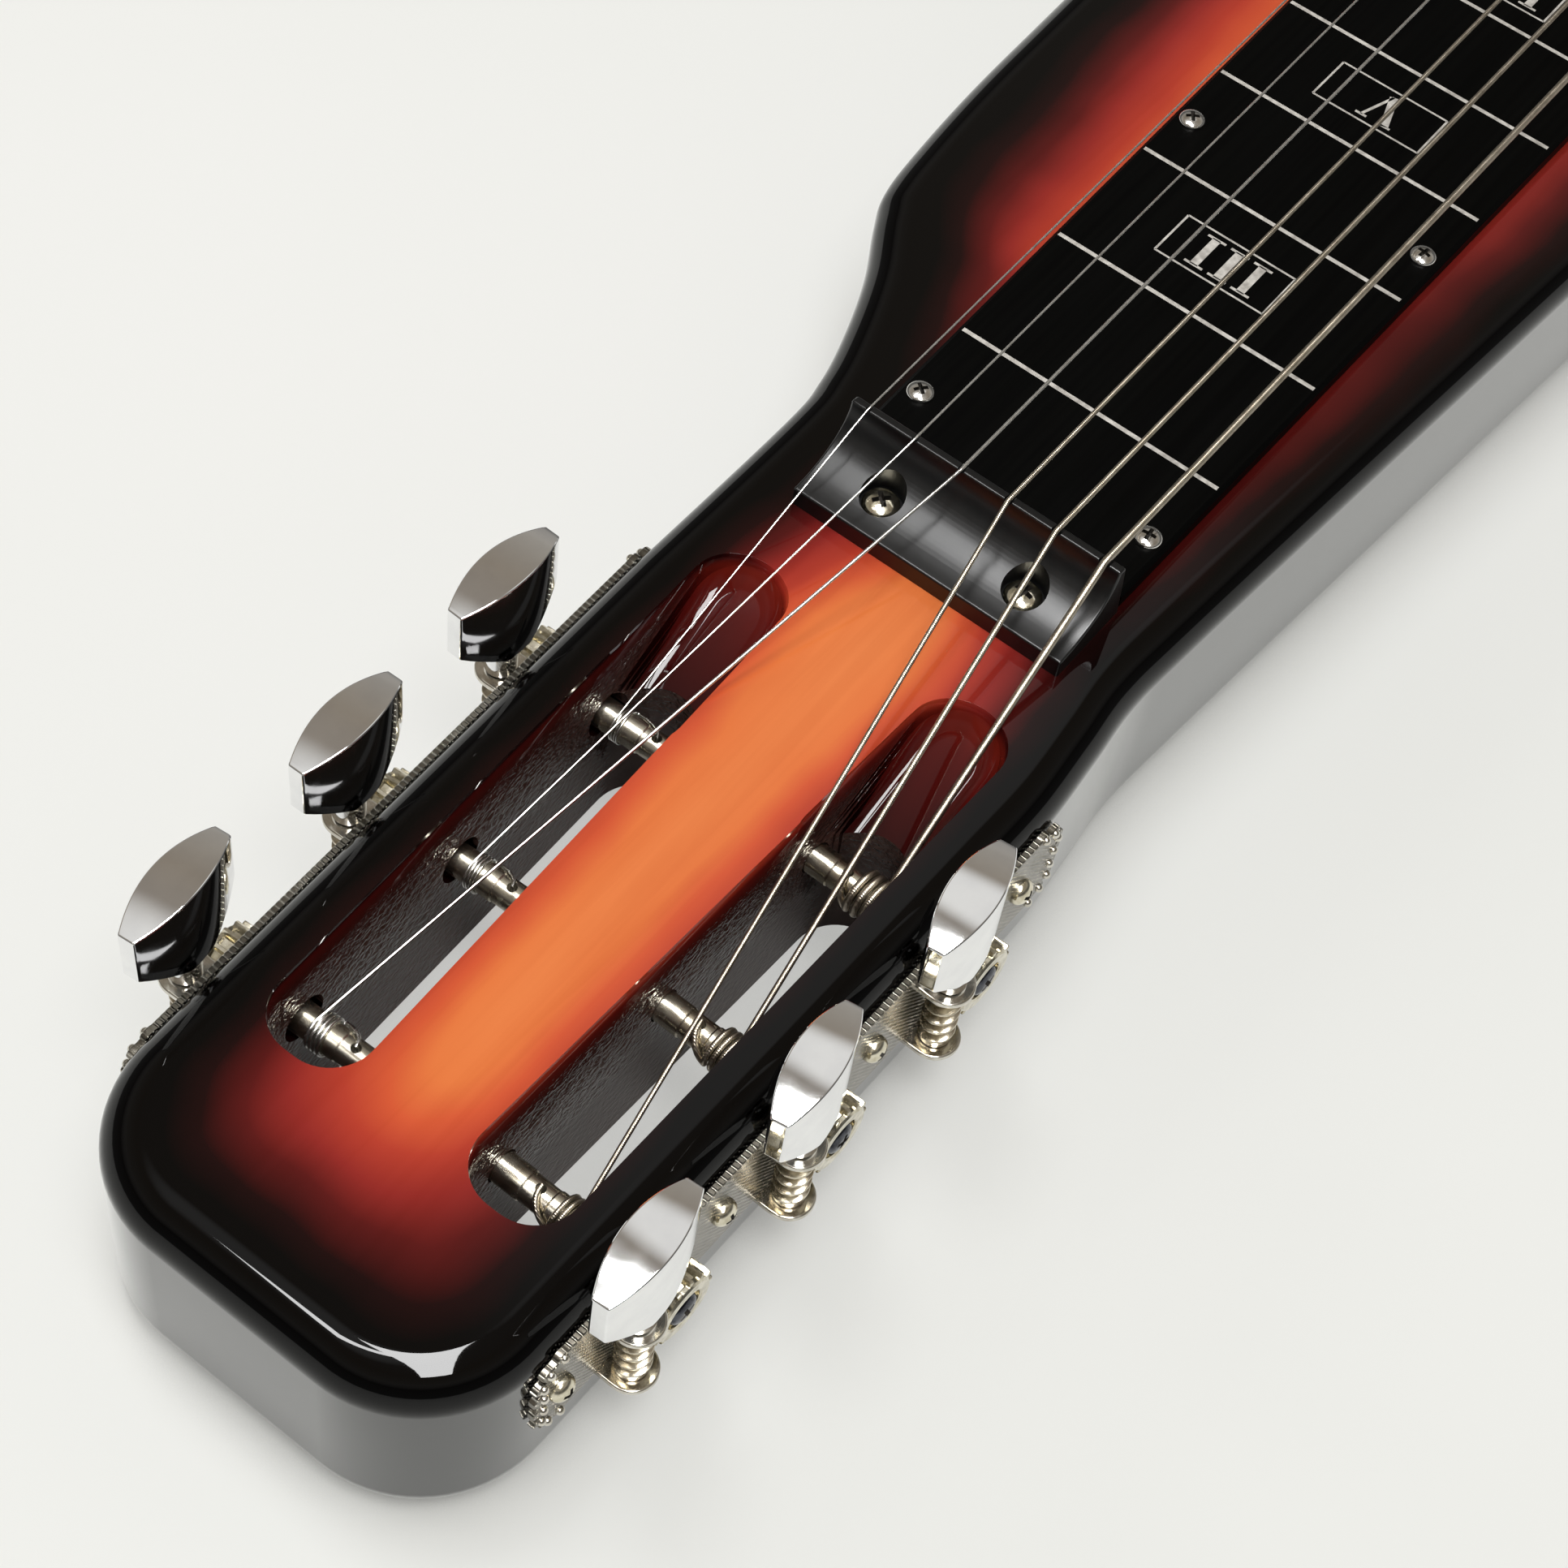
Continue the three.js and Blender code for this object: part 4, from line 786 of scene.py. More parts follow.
side_view = [(nut_x - nut_front, deck)]
for step in range(25):
    turn = math.pi / 2 * step / 24
    side_view.append((nut_x - nut_front + (nut_front - ridge_width) * math.sin(turn),
                      deck + nut_height - (nut_height - nut_front_height) * math.cos(turn)))
side_view += [(nut_x + 0.4 * mm, deck + nut_height - 0.35 * mm), (nut_x + nut_back, deck)]
nut = side_prism(side_view, -nut_half, nut_half)
creases = [e for e in nut.edges
           if e.calc_face_angle(0) > math.radians(35) and max(v.co.z for v in e.verts) > deck + 0.1 * mm]
round_edges(nut, creases, 0.45 * mm, 4)
nut = make_object("nut_moulding", nut)
along_x = Matrix.Rotation(math.pi / 2, 4, "Y")
hollows = []
for index, radius in enumerate(string_radii):
    place = at(nut_x, string_y(index, nut_spacing), deck + nut_height + 0.25 * mm)
    hollows.append(rod(radius + 0.45 * mm, 24 * mm, place @ along_x, 16))
wells = [rod(3.9 * mm, 20 * mm, at(nut_screw_x, side * nut_screw_y, deck + 12.2 * mm), 48)
         for side in (-1, 1)]
carve(nut, *hollows, merged(wells))
nut_black = mottled("satin_black_moulding", (1, 1, 1), (3, 3, 4), (5, 4.0), (0.29, 0.36), (1.6, 5.0),
                    Specular_IOR_Level=0.5)
relief(mottle(0.35, 2.0), 0.06, 0.02)
dress(nut, nut_black, ["nut"])

# Nut screws: two round-head cross-slot screws, nickel plated, down in the wells of the moulding. They
# hold the nut to the deck.
screw_nickel = plated("screw_nickel", (226, 220, 200), (196, 188, 164), (0.12, 0.26), 1.4)
for side, word in ((1, "thin_side"), (-1, "thick_side")):
    place = at(nut_screw_x, side * nut_screw_y, deck + 2.75 * mm)
    head = moved(cross_screw(3.3 * mm, 1.6 * mm), place @ Matrix.Rotation(0.35 + side * 0.5, 4, "Z"))
    dress_screw(make_object("nut_screw_head_" + word, head), screw_nickel, ["nut_screw_" + word])

# Tuner plates: one stamped, nickel-plated steel strip on each wall of the head, with beaded ends,
# a knurled ground and a pair of half-round ears bent out for every worm. Four screws hold each.
plate_rise, plate_half_height, plate_half_length = 1.7 * mm, 10.25 * mm, 64.2 * mm
plate_back, plate_face = 0.3 * mm, 1.5 * mm
worm_before_post, worm_out = 8.8 * mm, 4.9 * mm
ear_level, ear_radius, ear_thick = 8.3 * mm, 4.3 * mm, 1.2 * mm
button_turns = [math.radians(turn) for turn in (-3, 0, 5, 5, 10, 8)]
plate_screws = [-58.6 * mm, -21.9 * mm, 15.0 * mm, 53.5 * mm]


def beaded_end(end):
    """The scalloped end of a plate: small lobes round the two corners and down the end."""
    points = []
    half_length, half_height = plate_half_length / mm, plate_half_height / mm
    lobes = [(58.6, 10.25), (61.6, 9.0), (63.0, 6.2), (63.2, 2.2), (63.2, -2.2), (63.0, -6.2), (61.6, -9.0),
             (58.6, -10.25)]
    radii = [1.5, 1.5, 1.7, 2.1, 2.1, 1.7, 1.5, 1.5]
    for (along, level), radius in zip(lobes, radii):
        direction = math.atan2(level * 0.9, max(along - 54, 1))
        for step in range(9):
            turn = direction + math.pi * (0.5 - step / 8) * 0.86
            rise = level * 0.92 + radius * 0.62 * math.sin(turn)
            points.append((min(along - radius * 0.35 + radius * math.cos(turn), half_length),
                           max(min(rise, half_height), -half_height)))
    points = [(end * along * mm, plate_rise + level * mm) for along, level in points]
    return points if end > 0 else points[::-1]


def ear_solid(middle_x, level):
    """A half-round ear square to the plate, its rim broken."""
    outline = [(middle_x + ear_radius, plate_back), (middle_x - ear_radius, plate_back)]
    outline += arc((middle_x, worm_out), ear_radius, 180, 0, 20)
    solid = raise_plan(outline, level - ear_thick / 2, level + ear_thick / 2)
    rims = [e for e in solid.edges if abs(e.verts[0].co.z - e.verts[1].co.z) < 1e-7]
    round_edges(solid, rims, 0.35 * mm, 3)
    return solid


plate_nickel = new_finish("plate_nickel", Metallic=1.0)
where = axes("Object")


def ridge_lines(lean):
    """Fine ridges 1.15 mm apart, leaning one way across the strip."""
    across_lines = calc("MULTIPLY_ADD", where["Z"], lean, where["X"])
    wave = calc("SINE", calc("MULTIPLY", across_lines, 2 * math.pi / (1.15 * mm)))
    return spread(wave, 0.0, 1.0, -0.2, 1.0)


knurl = calc("MULTIPLY", ridge_lines(1.0), ridge_lines(-1.0))
worn = ramp(mottle(4, 4.0), [(0.3, (168, 163, 151)), (0.65, (212, 208, 198))])
# The knurl's valleys are coloured darker.
knurl_valley_darkening = ramp(knurl, [(0.0, (0.2, 0.19, 0.17, 1)), (0.35, (1, 1, 1, 1))])
feed(Base_Color=mix("MULTIPLY", 0.85, worn, knurl_valley_darkening), Roughness=spread(mottle(1.5, 5.0), 0.16, 0.3))
relief(knurl, 1.0, 0.42)
ear_nickel = plated("ear_nickel", (218, 214, 204), (184, 178, 164), (0.1, 0.2), 2.2)

for side, word in ((1, "thin_side"), (-1, "thick_side")):
    strip_solid = side_prism(beaded_end(1) + beaded_end(-1), plate_back, plate_face)
    front = [f for f in strip_solid.faces if f.normal.y > 0.9]
    round_edges(strip_solid, front[0].edges[:], 0.3 * mm, 3)
    face = make_object("tuner_strip_" + word, strip_solid)
    holes = [moved(pin(3.1 * mm, -1 * mm, 4 * mm), at(offset, 0, 0))
             for offset in post_offsets]
    carve(face, *holes)
    face.data.transform(wall_matrix(side))
    if side < 0:
        face.data.flip_normals()
    dress(face, plate_nickel, ["tuner_plate_" + word])

    ears = [ear_solid(offset - worm_before_post, level) for offset in post_offsets
            for level in (ear_level, -ear_level)]
    # A row of small beads follows the rim of each beaded end
    for end in (1, -1):
        for along, level in ((58.2, 9.3), (61.0, 8.1), (62.4, 5.6), (62.2, 2.0), (62.2, -2.0), (62.4, -5.6),
                             (61.0, -8.1), (58.2, -9.3)):
            bead = bmesh.new()
            place = at(end * along * mm, plate_face, plate_rise + level * mm)
            bmesh.ops.create_uvsphere(bead, u_segments=16, v_segments=8, radius=0.8 * mm, matrix=place)
            ears.append(bead)
    dress(make_object("tuner_ears_" + word, on_wall(side, merged(ears))), ear_nickel)

    places = [wall_matrix(side) @ at(along, plate_face, plate_rise)
              @ lay_out @ Matrix.Rotation(0.4 + 1.1 * index, 4, "Z")
              for index, along in enumerate(plate_screws)]
    screws = stamp(cross_screw(2.4 * mm, 1.8 * mm), places)
    bmesh.ops.recalc_face_normals(screws, faces=screws.faces)
    dress_screw(make_object("tuner_plate_screws_" + word, screws), screw_nickel)

# Worms and buttons: a steel worm runs between the two ears. Its shaft carries the button, a chromed
# casting that is a flat-ended lens from above and tapers to a round stem.
worm_pitch = 2 * math.pi * (8.8 - 3 + 1.5 / 3) / 14 * mm
worm_root, worm_crest = 1.78 * mm, 3.0 * mm
thread_half = 7.4 * mm
button_top, button_length = 35 * mm, 22.8 * mm
button_end, button_middle = 2.9 * mm, 8.2 * mm
button_side, button_taper, button_crown = 12 * mm, 6.5 * mm, 1.3 * mm
stem_radius = 2.75 * mm

chrome = plated("button_chrome", (244, 244, 244), (236, 236, 237), (0.035, 0.075), 6)
worm_nickel = plated("worm_nickel", (204, 196, 178), (160, 149, 128), (0.14, 0.26), 1.6)
# Each tuner by its string's number, with its wall's side and its place along the wall
tuners = {3 - row if side > 0 else 4 + row: (side, offset)
          for side in (1, -1) for row, offset in enumerate(post_offsets)}


def worm_solid():
    turns = 2 * thread_half / worm_pitch - 0.45
    steps = int(turns * 28)
    thread = bmesh.new()
    half_foot, half_crest = 0.62 * mm, 0.26 * mm
    half_section = [(worm_root - 0.4 * mm, half_foot), (worm_root, half_foot),
                    (2.55 * mm, half_crest + 0.12 * mm), (worm_crest - 0.08 * mm, half_crest),
                    (worm_crest, 0.1 * mm)]
    section = [(radius, -height) for radius, height in half_section] + half_section[::-1]
    start = -turns / 2 * worm_pitch
    # The middle of a gap faces the gear, which is towards +X
    first_turn = 2 * math.pi * (start / worm_pitch - 0.5)
    ring = [thread.verts.new((radius, 0, start + height)) for radius, height in section]
    face = thread.faces.new(ring)
    bmesh.ops.rotate(thread, verts=thread.verts, cent=(0, 0, 0), matrix=Matrix.Rotation(first_turn, 3, "Z"))
    bmesh.ops.spin(thread, geom=[face] + face.edges[:] + ring, cent=(0, 0, 0), axis=(0, 0, 1),
                   dvec=(0, 0, turns * worm_pitch / steps), angle=2 * math.pi * turns, steps=steps)
    bmesh.ops.recalc_face_normals(thread, faces=thread.faces)
    tip = ear_level + ear_thick
    shaft = spun([(0, -tip), (1.2 * mm, -tip), (1.5 * mm, -tip + 0.3 * mm),
                  (1.5 * mm, -thread_half - 0.2 * mm), (2.6 * mm, -thread_half),
                  (2.6 * mm, -thread_half + 0.7 * mm), (worm_root, -thread_half + 1.1 * mm),
                  (worm_root, thread_half - 1.1 * mm), (2.6 * mm, thread_half - 0.7 * mm),
                  (2.6 * mm, thread_half), (1.5 * mm, thread_half + 0.2 * mm),
                  (1.5 * mm, 12.5 * mm), (0, 12.5 * mm)], 36)
    return merged([thread, shaft])


def button_solid():
    """A ladder of faces shaped to the lens and its crown, drawn down to the taper, on its stem."""
    bottom = button_top - button_side
    foot = bottom - button_taper
    body = bmesh.new()
    bmesh.ops.create_grid(body, x_segments=32, y_segments=1, size=1.0)
    for vert in body.verts:
        along, face_side = vert.co.x, vert.co.y
        out = button_end + (button_middle - button_end) * (1 - along * along)
        vert.co = (along * button_length / 2, face_side * out / 2, button_top - button_crown * along * along)
    grown = bmesh.ops.extrude_face_region(body, geom=body.faces[:])["geom"]
    for vert in grown:
        if isinstance(vert, bmesh.types.BMVert):
            past_stem = max(abs(vert.co.x) - stem_radius, 0)
            vert.co.z = foot + past_stem * button_taper / (button_length / 2 - stem_radius)
    bmesh.ops.recalc_face_normals(body, faces=body.faces)
    edges = [e for e in body.edges if e.calc_face_angle(0) > math.radians(42)]
    round_edges(body, edges, 0.32 * mm, 3, clamp=False)
    stem_low = ear_level + ear_thick / 2 + 0.3 * mm
    stem = spun([(1.8 * mm, stem_low), (stem_radius - 0.25 * mm, stem_low),
                 (stem_radius, stem_low + 0.25 * mm), (stem_radius, foot - 2.2 * mm),
                 (stem_radius - 0.3 * mm, foot - 1.9 * mm),
                 (stem_radius - 0.3 * mm, foot - 1.5 * mm), (stem_radius, foot - 1.2 * mm),
                 (stem_radius, bottom - 1 * mm), (0, bottom)], 40)
    return merged([body, stem])


for label, (side, offset) in tuners.items():
    stand = (wall_matrix(side, offset - worm_before_post) @ at(0, worm_out, 0)
             @ Matrix.Diagonal((1, side, 1, 1)))
    dress(make_object(f"worm_gear_shaft_{label}", moved(worm_solid(), stand)), worm_nickel,
          [f"worm_{label}"], f"tuner_key_{label}", 45)
    button = moved(button_solid(), stand @ Matrix.Rotation(button_turns[label - 1], 4, "Z"))
    dress(make_object(f"button_{label}", button), chrome, [f"tuner_button_{label}"],
          f"tuner_key_{label}", 24)

# Posts and gears: a turned steel post lies across each slot and carries a toothed wheel outside the
# plate, clamped on by a dark cross-slot screw. The post has a hole for the string's end.
gear_tip, gear_root, gear_half = 6.8 * mm, 5.3 * mm, 1.9 * mm
gear_teeth = 14
post_radius, post_inner = 2.8 * mm, -33.156 * mm
hole_depth = -20.86 * mm


def gear_solid():
    plan = []
    for tooth in range(gear_teeth):
        for radius, share in ((gear_root, -0.5), (gear_root + 0.25 * mm, -0.43),
                              (gear_tip - 0.25 * mm, -0.26), (gear_tip, -0.18), (gear_tip, 0.18),
                              (gear_tip - 0.25 * mm, 0.26), (gear_root + 0.25 * mm, 0.43)):
            turn = math.pi + 2 * math.pi * (tooth + share / 2) / gear_teeth
            plan.append((radius * math.cos(turn), radius * math.sin(turn)))
    solid = side_prism(plan, -gear_half, gear_half)
    rims = [e for e in solid.edges if abs(e.verts[0].co.y - e.verts[1].co.y) < 1e-7]
    round_edges(solid, rims, 0.28 * mm, 2)
    wheel = make_object("wheel", solid)
    dish = pin(3.5 * mm, gear_half - 1.0 * mm, gear_half + 1 * mm, 48, 3.7 * mm)
    carve(wheel, dish, pin(1.9 * mm, -3 * mm, 3 * mm))
    solid = bmesh.new()
    solid.from_mesh(wheel.data)
    bpy.data.objects.remove(wheel)
    rim = spun([(3.6 * mm, 1.0 * mm), (5.75 * mm, 1.0 * mm), (5.95 * mm, 1.2 * mm), (5.95 * mm, 1.85 * mm),
                (5.6 * mm, 2.2 * mm), (4.0 * mm, 2.25 * mm), (3.62 * mm, 2.0 * mm), (3.6 * mm, 1.0 * mm)], 56)
    return merged([solid, moved(rim, lay_out)])


gear_nickel = plated("gear_nickel", (218, 212, 194), (176, 168, 146), (0.13, 0.25), 1.8)
post_nickel = plated("post_nickel", (206, 200, 184), (172, 164, 144), (0.2, 0.28), 5)
dark_steel = plated("dark_steel", (86, 88, 94), (46, 47, 52), (0.16, 0.3), 1.2)

for label, (side, offset) in tuners.items():
    body = f"tuner_post_{label}"
    wheel = on_wall(side, moved(gear_solid(), at(offset, worm_out, 0)))
    dress(make_object(f"gear_wheel_{label}", wheel), gear_nickel, [f"gear_{label}"], body)

    waist = post_radius - 0.18 * mm
    post = spun([(0, post_inner), (post_radius - 0.3 * mm, post_inner), (post_radius, post_inner + 0.3 * mm),
                 (post_radius, hole_depth - 2.6 * mm), (waist, hole_depth - 2.3 * mm),
                 (waist, hole_depth + 2.3 * mm), (post_radius, hole_depth + 2.6 * mm),
                 (post_radius, 1.8 * mm), (4.0 * mm, 1.8 * mm), (4.2 * mm, 2.0 * mm), (4.2 * mm, 2.6 * mm),
                 (2.0 * mm, 2.7 * mm), (1.85 * mm, 2.9 * mm), (1.85 * mm, 5.8 * mm), (0, 5.8 * mm)], 40)
    moved(post, at(offset, 0, 0) @ lay_out)
    post = make_object(f"post_{label}", on_wall(side, post))
    drill = rod(0.9 * mm, 8 * mm, at(offset, hole_depth, 0), 24)
    carve(post, on_wall(side, drill))
    dress(post, post_nickel, [f"string_post_{label}"], body)

    place = at(offset, worm_out + gear_half - 0.5 * mm, 0) @ lay_out
    head = moved(cross_screw(2.9 * mm, 1.1 * mm, 0.0, 0.3), place @ Matrix.Rotation(0.7 * label, 4, "Z"))
    dress_screw(make_object(f"gear_clamp_screw_{label}", on_wall(side, head)), dark_steel,
                [f"gear_screw_{label}"], body)

# Bridge: a chromed steel plate bent up at its rear edge into a lip that the strings hook through,
# with a round-topped saddle bar standing on it. Four cross-slot screws hold it to the deck.
bridge_x = 347.5 * mm
bridge_half, bridge_top, lip_top = 37.925 * mm, 45 * mm, 56 * mm
bridge_front, bridge_back = 335.5 * mm, 375.5 * mm
saddle_half, saddle_round, saddle_top = 33.925 * mm, 3.5 * mm, 60.2 * mm
lip_hole = 50 * mm

bend, foot_bend = 2 * mm, 3 * mm
bridge_view = [(bridge_front, deck), (bridge_front, bridge_top)]
bridge_view += arc((bridge_back - 2 * bend, bridge_top + bend), bend, -90, 0, 8)
bridge_view += [(bridge_back - bend, lip_top), (bridge_back, lip_top)]
bridge_view += arc((bridge_back - foot_bend, deck + foot_bend), foot_bend, 0, -90, 8)
bridge = side_prism(bridge_view, -bridge_half, bridge_half)
creases = [e for e in bridge.edges
           if e.calc_face_angle(0) > math.radians(50) and max(v.co.z for v in e.verts) > deck + 0.2 * mm]
round_edges(bridge, creases, 0.5 * mm, 3)
bridge = make_object("bridge_base", bridge)
slits = []
for index, radius in enumerate(string_radii):
    half = radius + 0.3 * mm
    hook = at(bridge_back - 1 * mm, string_y(index, bridge_spacing), lip_hole)
    slits.append(box((6 * mm, 2 * half, 10 * mm), hook @ at(0, 0, 5 * mm)))
    slits.append(rod(half, 6 * mm, hook @ along_x, 20))
carve(bridge, *slits)
hardware_chrome = plated("hardware_chrome", (238, 238, 238), (222, 222, 223), (0.05, 0.12), 8)
dress(bridge, hardware_chrome, ["bridge_plate"])

saddle_view = [(bridge_x + saddle_round, bridge_top), (bridge_x - saddle_round, bridge_top)]
saddle_view += arc((bridge_x, saddle_top - saddle_round), saddle_round, 180, 0, 20)
saddle = side_prism(saddle_view, -saddle_half, saddle_half)
rims = [e for e in saddle.edges if abs(e.verts[0].co.y - e.verts[1].co.y) < 1e-7
        and max(v.co.z for v in e.verts) > bridge_top + 0.1 * mm]
round_edges(saddle, rims, 0.5 * mm, 3)
dress(make_object("saddle_bar", saddle), hardware_chrome, ["saddle"])

places = [at(along, across, bridge_top)
          @ Matrix.Rotation(0.3 + along * 900 + across * 40, 4, "Z")
          for along in (bridge_front + 5 * mm, bridge_back - 10 * mm) for across in (-30 * mm, 30 * mm)]
bridge_screws = make_object("bridge_screws", stamp(cross_screw(3.2 * mm, 1.5 * mm), places))
dress_screw(bridge_screws, screw_chrome)

# Strings: three plain steel wires and three wound ones. Each hooks its ball end behind the bridge's
# lip, crosses saddle and nut, and winds round its post in the slot.
winding_turns = 3
winding_start = -13.3 * mm


def string_route(index):
    """The wire's middle line from ball end to post, and the point where its end leaves the winding."""
    radius = string_radii[index]
    y_bridge, y_nut = string_y(index, bridge_spacing), string_y(index, nut_spacing)
    bend = saddle_round + radius + 0.3 * mm
    bend_z = saddle_top - saddle_round
    drop, run_back = bend_z - lip_hole, bridge_back - bridge_x
    leave = math.pi / 2 + math.atan2(drop, run_back) - math.acos(bend / math.hypot(run_back, drop))
    points = [Vector((bridge_back + behind, y_bridge, lip_hole)) for behind in (0.5 * mm, -2 * mm)]
    for step in range(7):
        turn = leave * (1 - step / 6)
        points.append(Vector((bridge_x + bend * math.sin(turn), y_bridge, bend_z + bend * math.cos(turn))))
    ridge = deck + nut_height
    for share in (0.25, 0.5, 0.75):
        points.append(Vector((bridge_x, y_bridge, bend_z + bend)).lerp(Vector((nut_x, y_nut, ridge)), share))
    points.append(Vector((nut_x, y_nut, ridge)))
    at_nut = Vector((nut_x - ridge_width, y_nut, ridge))
    points.append(at_nut)
    side, offset = tuners[index + 1]
    wall = wall_matrix(side)
    toward_nut = (wall.to_3x3() @ Vector((1, 0, 0))).normalized()
    inward = (wall.to_3x3() @ Vector((0, -1, 0))).normalized()
    post = wall @ Vector((offset, winding_start, 0))
    around = post_radius + radius + 0.06 * mm
    reach = at_nut - post
    run = reach.dot(toward_nut)
    start = math.atan2(reach.z, run) - math.asin(around / math.hypot(run, reach.z))
    pitch = 2 * radius + 0.12 * mm
    turns = winding_turns + (0.75 if radius < 0.4 * mm else 0.25)
    steps = int(turns * 26)
    for step in range(steps + 1):
        angle = start + 2 * math.pi * turns * step / steps
        points.append(post - toward_nut * around * math.sin(angle) + Vector((0, 0, around * math.cos(angle)))
                      + inward * pitch * turns * step / steps)
    return points


def wire(name, points, radius):
    """A round wire along the points, its ends closed."""
    line = bpy.data.curves.new(name, "CURVE")
    line.dimensions = "3D"
    line.bevel_depth = radius * 0.995
    line.bevel_resolution = 3
    line.use_fill_caps = True
    run = line.splines.new("POLY")
    run.points.add(len(points) - 1)
    for point, place in zip(run.points, points):
        point.co = (*place, 1)
    holder = put(name, line)
    mesh = bpy.data.meshes.new_from_object(holder.evaluated_get(bpy.context.evaluated_depsgraph_get()))
    bpy.data.objects.remove(holder)
    solid = bmesh.new()
    solid.from_mesh(mesh)
    bpy.data.meshes.remove(mesh)
    bmesh.ops.remove_doubles(solid, verts=solid.verts, dist=1e-6)
    bmesh.ops.recalc_face_normals(solid, faces=solid.faces)
    return solid


plain_steel = plated("plain_string_steel", (226, 225, 222), (198, 196, 191), (0.16, 0.28), 1.5)
wound_steel = mottled("wound_string_nickel", (156, 146, 130), (188, 179, 163), (2.2, 3.0), (0.24, 0.36),
                      (1.2, 4.0), Metallic=1.0)
place = add("TexCoord").outputs["Object"]
turns_wave = add("TexWave", {"Vector": place, "Scale": 2 * math.pi / (0.34 * mm) / 20, "Distortion": 0.0},
                 bands_direction="X").outputs["Fac"]
relief(turns_wave, 0.5, 0.08)
brass = mottled("ball_end_brass", (176, 138, 74), (206, 172, 102), (1.2, 3.0), (0.22, 0.36), (0.8, 4.0),
                Metallic=1.0)

for index, radius in enumerate(string_radii):
    label = index + 1
    route = string_route(index)
    finish = wound_steel if index > 2 else plain_steel
    dress(make_object(f"string_wire_{label}", wire(f"string_wire_{label}", route, radius)), finish,
          [f"string_{label}"], sharp=60)
    ball = spun([(0.55 * mm, 0), (1.6 * mm, 0), (1.9 * mm, 0.3 * mm), (1.9 * mm, 0.9 * mm),
                 (1.35 * mm, 1.4 * mm), (1.35 * mm, 2.1 * mm), (1.9 * mm, 2.6 * mm), (1.9 * mm, 3.2 * mm),
                 (1.6 * mm, 3.5 * mm), (0.55 * mm, 3.5 * mm), (0.55 * mm, 0)], 28)
    behind_lip = at(bridge_back + 0.35 * mm, string_y(index, bridge_spacing), lip_hole)
    moved(ball, behind_lip @ along_x)
    bmesh.ops.recalc_face_normals(ball, faces=ball.faces)
    dress(make_object(f"string_ball_{label}", ball), brass, sharp=40)

    # The string's last bit turns with the post: from the winding into the post's own hole
    side, offset = tuners[label]
    wall = wall_matrix(side)
    last = wall.inverted() @ route[-1]
    begin = math.atan2(last.x - offset, last.z)
    away = post_radius + radius + 0.06 * mm
    tail = []
    for step in range(9):
        turn = begin * (1 - step / 8)
        along = last.y + (hole_depth - last.y) * math.sin(math.pi / 2 * step / 8)
        tail.append(wall @ Vector((offset + away * math.sin(turn), along, away * math.cos(turn))))
    tail += [wall @ Vector((offset, hole_depth, post_radius - down)) for down in (0.3 * mm, 2.2 * mm)]
    end = wire(f"string_end_{label}", tail, min(radius, 0.6 * mm))
    dress(make_object(f"string_end_{label}", end), finish, (), f"tuner_post_{label}", 60)

# Pickup: a single wound coil on a bar magnet under a chromed oval cover, standing in its pocket in
# the deck just before the bridge.
pickup_half_length, pickup_half_width = 39 * mm, 13 * mm
pickup_floor, cover_top, cover_wall = 27 * mm, 52 * mm, 0.8 * mm


def oval_plan(half_length, half_width, steps=24):
    middle = half_length - half_width
    return (arc((pickup_x, middle), half_width, 0, 180, steps)
            + arc((pickup_x, -middle), half_width, 180, 360, steps))


cover = raise_plan(oval_plan(pickup_half_length, pickup_half_width), pickup_floor, cover_top)
rims = [e for e in cover.edges if all(v.co.z > cover_top - 0.01 * mm for v in e.verts)]
round_edges(cover, rims, 1.6 * mm, 6)
cover = make_object("pickup_shell", cover)
inside = oval_plan(pickup_half_length - cover_wall, pickup_half_width - cover_wall)
carve(cover, raise_plan(inside, pickup_floor - 2 * mm, cover_top - cover_wall))
dress(cover, hardware_chrome, ["pickup_cover"])
coil_copper = mottled("coil_copper", (120, 58, 28), (188, 108, 58), (0.5, 4.0, (0.04, 0.04, 1)), (0.3, 0.5),
                      (0.6, 4.0), Metallic=0.8)
recolour(["pickup_coil"], coil_copper)
recolour(["pickup_magnet"], plated("magnet_grey", (120, 120, 122), (84, 84, 88), (0.35, 0.55), 1.5))

# Controls: a chromed plate on the thick-string side carries the volume and tone controls and the
# output socket. Each control is a cased resistor with a bushing, a shaft and a knurled knob.
plate_half_x, plate_half_y, plate_top, plate_corner = 64 * mm, 13.5 * mm, 44.2 * mm, 4 * mm
control_x = [plate_x + step * 38 * mm for step in (-1, 0, 1)]
knob_radius, knob_low, knob_top = 9.5 * mm, 46.5 * mm, 61.5 * mm

plan = []
for quarter, (along, across) in enumerate([(1, 1), (-1, 1), (-1, -1), (1, -1)]):
    middle = (plate_x + along * (plate_half_x - plate_corner),
              plate_y + across * (plate_half_y - plate_corner))
    plan += arc(middle, plate_corner, 90 * quarter, 90 * quarter + 90, 8)
plate = raise_plan(plan, deck, plate_top)
rims = [e for e in plate.edges if all(v.co.z > plate_top - 0.01 * mm for v in e.verts)]
round_edges(plate, rims, 0.4 * mm, 3)
plate = make_object("control_base", plate)
holes = [rod(radius, 6 * mm, at(along, plate_y, plate_top), 40)
         for along, radius in zip(control_x, (4.2 * mm, 4.2 * mm, 4.6 * mm))]
carve(plate, *holes)
dress(plate, hardware_chrome, ["control_plate"])

places = [at(plate_x + along * 59.5 * mm, plate_y + across * 9 * mm, plate_top)
          @ Matrix.Rotation(0.5 + along * 0.8 + across * 1.7, 4, "Z")
          for along in (-1, 1) for across in (-1, 1)]
control_screws = make_object("control_plate_screws", stamp(cross_screw(2.4 * mm, 1.1 * mm), places))
dress_screw(control_screws, screw_chrome)

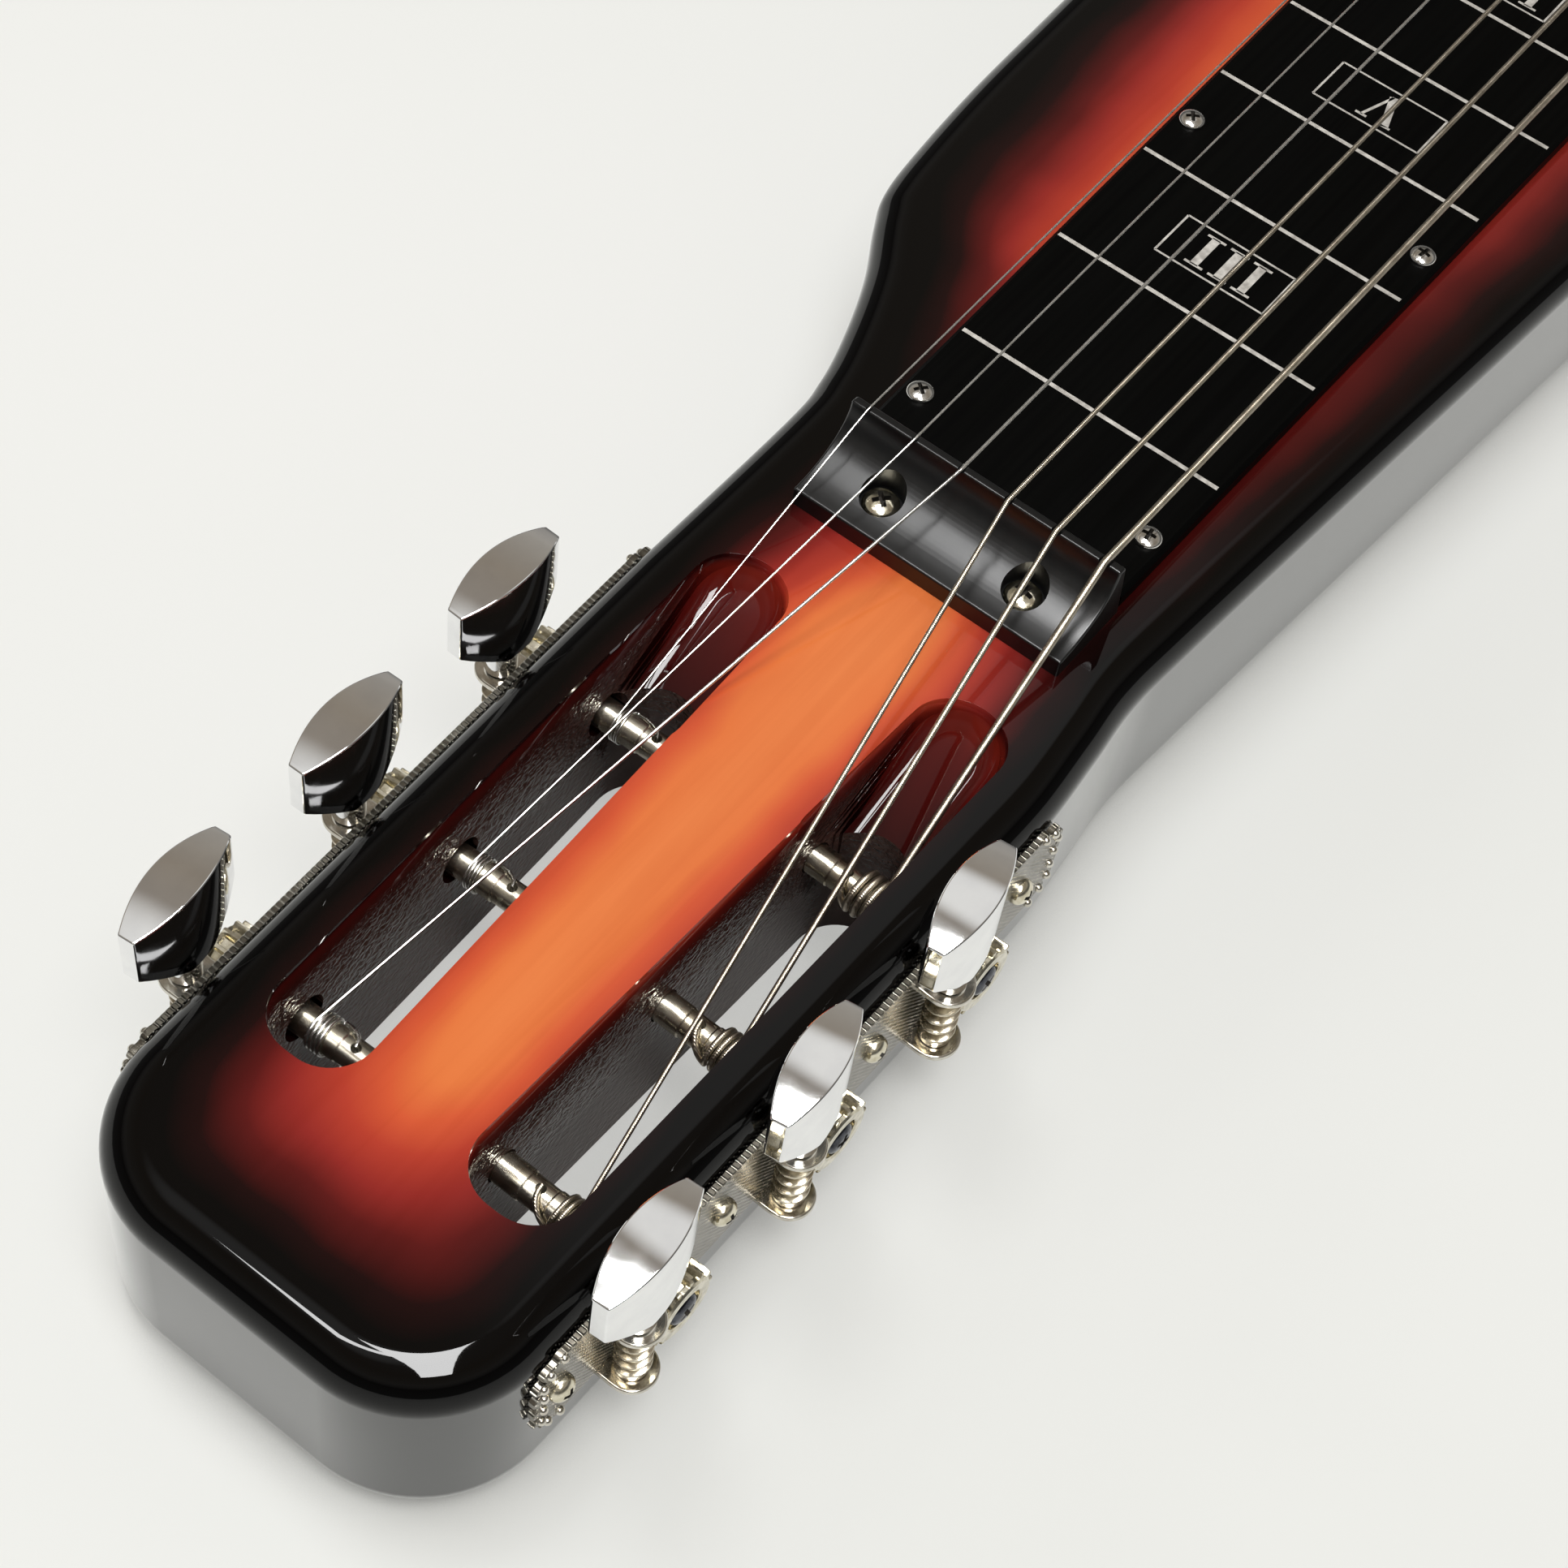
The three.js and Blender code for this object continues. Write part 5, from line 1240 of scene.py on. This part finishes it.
pointer_black = mottled("pointer_black", (12, 12, 12), (26, 26, 26), (0.8, 3.0), (0.35, 0.5), (0.6, 3.0))
for name, x_place in (("volume", control_x[0]), ("tone", control_x[1])):
    stand = at(x_place, plate_y, 0)
    knob = spun([(3.3 * mm, knob_low), (9.0 * mm, knob_low), (knob_radius, knob_low + 0.5 * mm),
                 (knob_radius, knob_low + 2.2 * mm), (knob_radius - 0.5 * mm, knob_low + 2.7 * mm),
                 (knob_radius - 0.45 * mm, knob_top - 2.4 * mm),
                 (knob_radius - 0.9 * mm, knob_top - 1.2 * mm),
                 (knob_radius - 1.9 * mm, knob_top - 0.5 * mm),
                 (knob_radius - 3.2 * mm, knob_top - 0.15 * mm), (3.0 * mm, knob_top - 0.02 * mm),
                 (0, knob_top), (0, 59 * mm), (3.3 * mm, 59 * mm), (3.3 * mm, knob_low)], 72)
    # Straight knurling round the grip
    for vert in knob.verts:
        radius = math.hypot(vert.co.x, vert.co.y)
        if knob_low + 2.5 * mm < vert.co.z < knob_top - 1 * mm and radius > 8 * mm:
            turn = math.atan2(vert.co.y, vert.co.x)
            share = 1 - 0.3 * mm / radius * (round((turn + math.pi) / math.radians(5)) % 2)
            vert.co.x *= share
            vert.co.y *= share
    dress(make_object(name + "_grip", moved(knob, stand)), hardware_chrome, [name + "_knob"],
          name + "_control", 28)
    place = stand @ at(-4.6 * mm, 0, knob_top - 0.45 * mm)
    pointer = box((4.2 * mm, 0.9 * mm, 0.8 * mm), place)
    round_edges(pointer, pointer.edges[:], 0.12 * mm, 2)
    dress(make_object(name + "_pointer", pointer), pointer_black, (), name + "_control")
    recolour([name + "_pot", name + "_shaft"], screw_nickel)

# Output socket: a nickel-plated sleeve under the plate, for the plug of a cable. A turned nut on top
# holds it in its hole.
collar = spun([(3.3 * mm, 21 * mm), (4.3 * mm, 21 * mm), (4.3 * mm, 44.5 * mm), (5.5 * mm, 44.5 * mm),
               (5.8 * mm, 44.8 * mm), (5.8 * mm, 45.7 * mm), (5.4 * mm, 46.1 * mm), (4.5 * mm, 46.15 * mm),
               (4.35 * mm, 46.5 * mm), (3.6 * mm, 46.5 * mm), (3.3 * mm, 46.2 * mm), (3.3 * mm, 21 * mm)], 48)
moved(collar, at(control_x[2], plate_y, 0))
dress(make_object("output_sleeve", collar), screw_nickel, ["output_jack"])

# Wiring under the plate: two cloth-covered leads and the tone control's brown moulded capacitor,
# soldered to the controls. They stay in their CAD shapes.
cloth_cover = mottled("cloth_covered_wire", (188, 176, 138), (218, 208, 174), (0.5, 4.0), (0.7, 0.9),
                      (0.5, 4.0))
relief(mottle(0.35, 2.0), 0.5, 0.1)
recolour(["pickup_lead", "jack_lead"], cloth_cover)
capacitor_brown = mottled("capacitor_brown", (120, 66, 34), (150, 88, 48), (3, 3.0), (0.3, 0.45), (1, 3.0),
                          Coat_Weight=0.4)
recolour(["tone_capacitor"], capacitor_brown)

low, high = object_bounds()
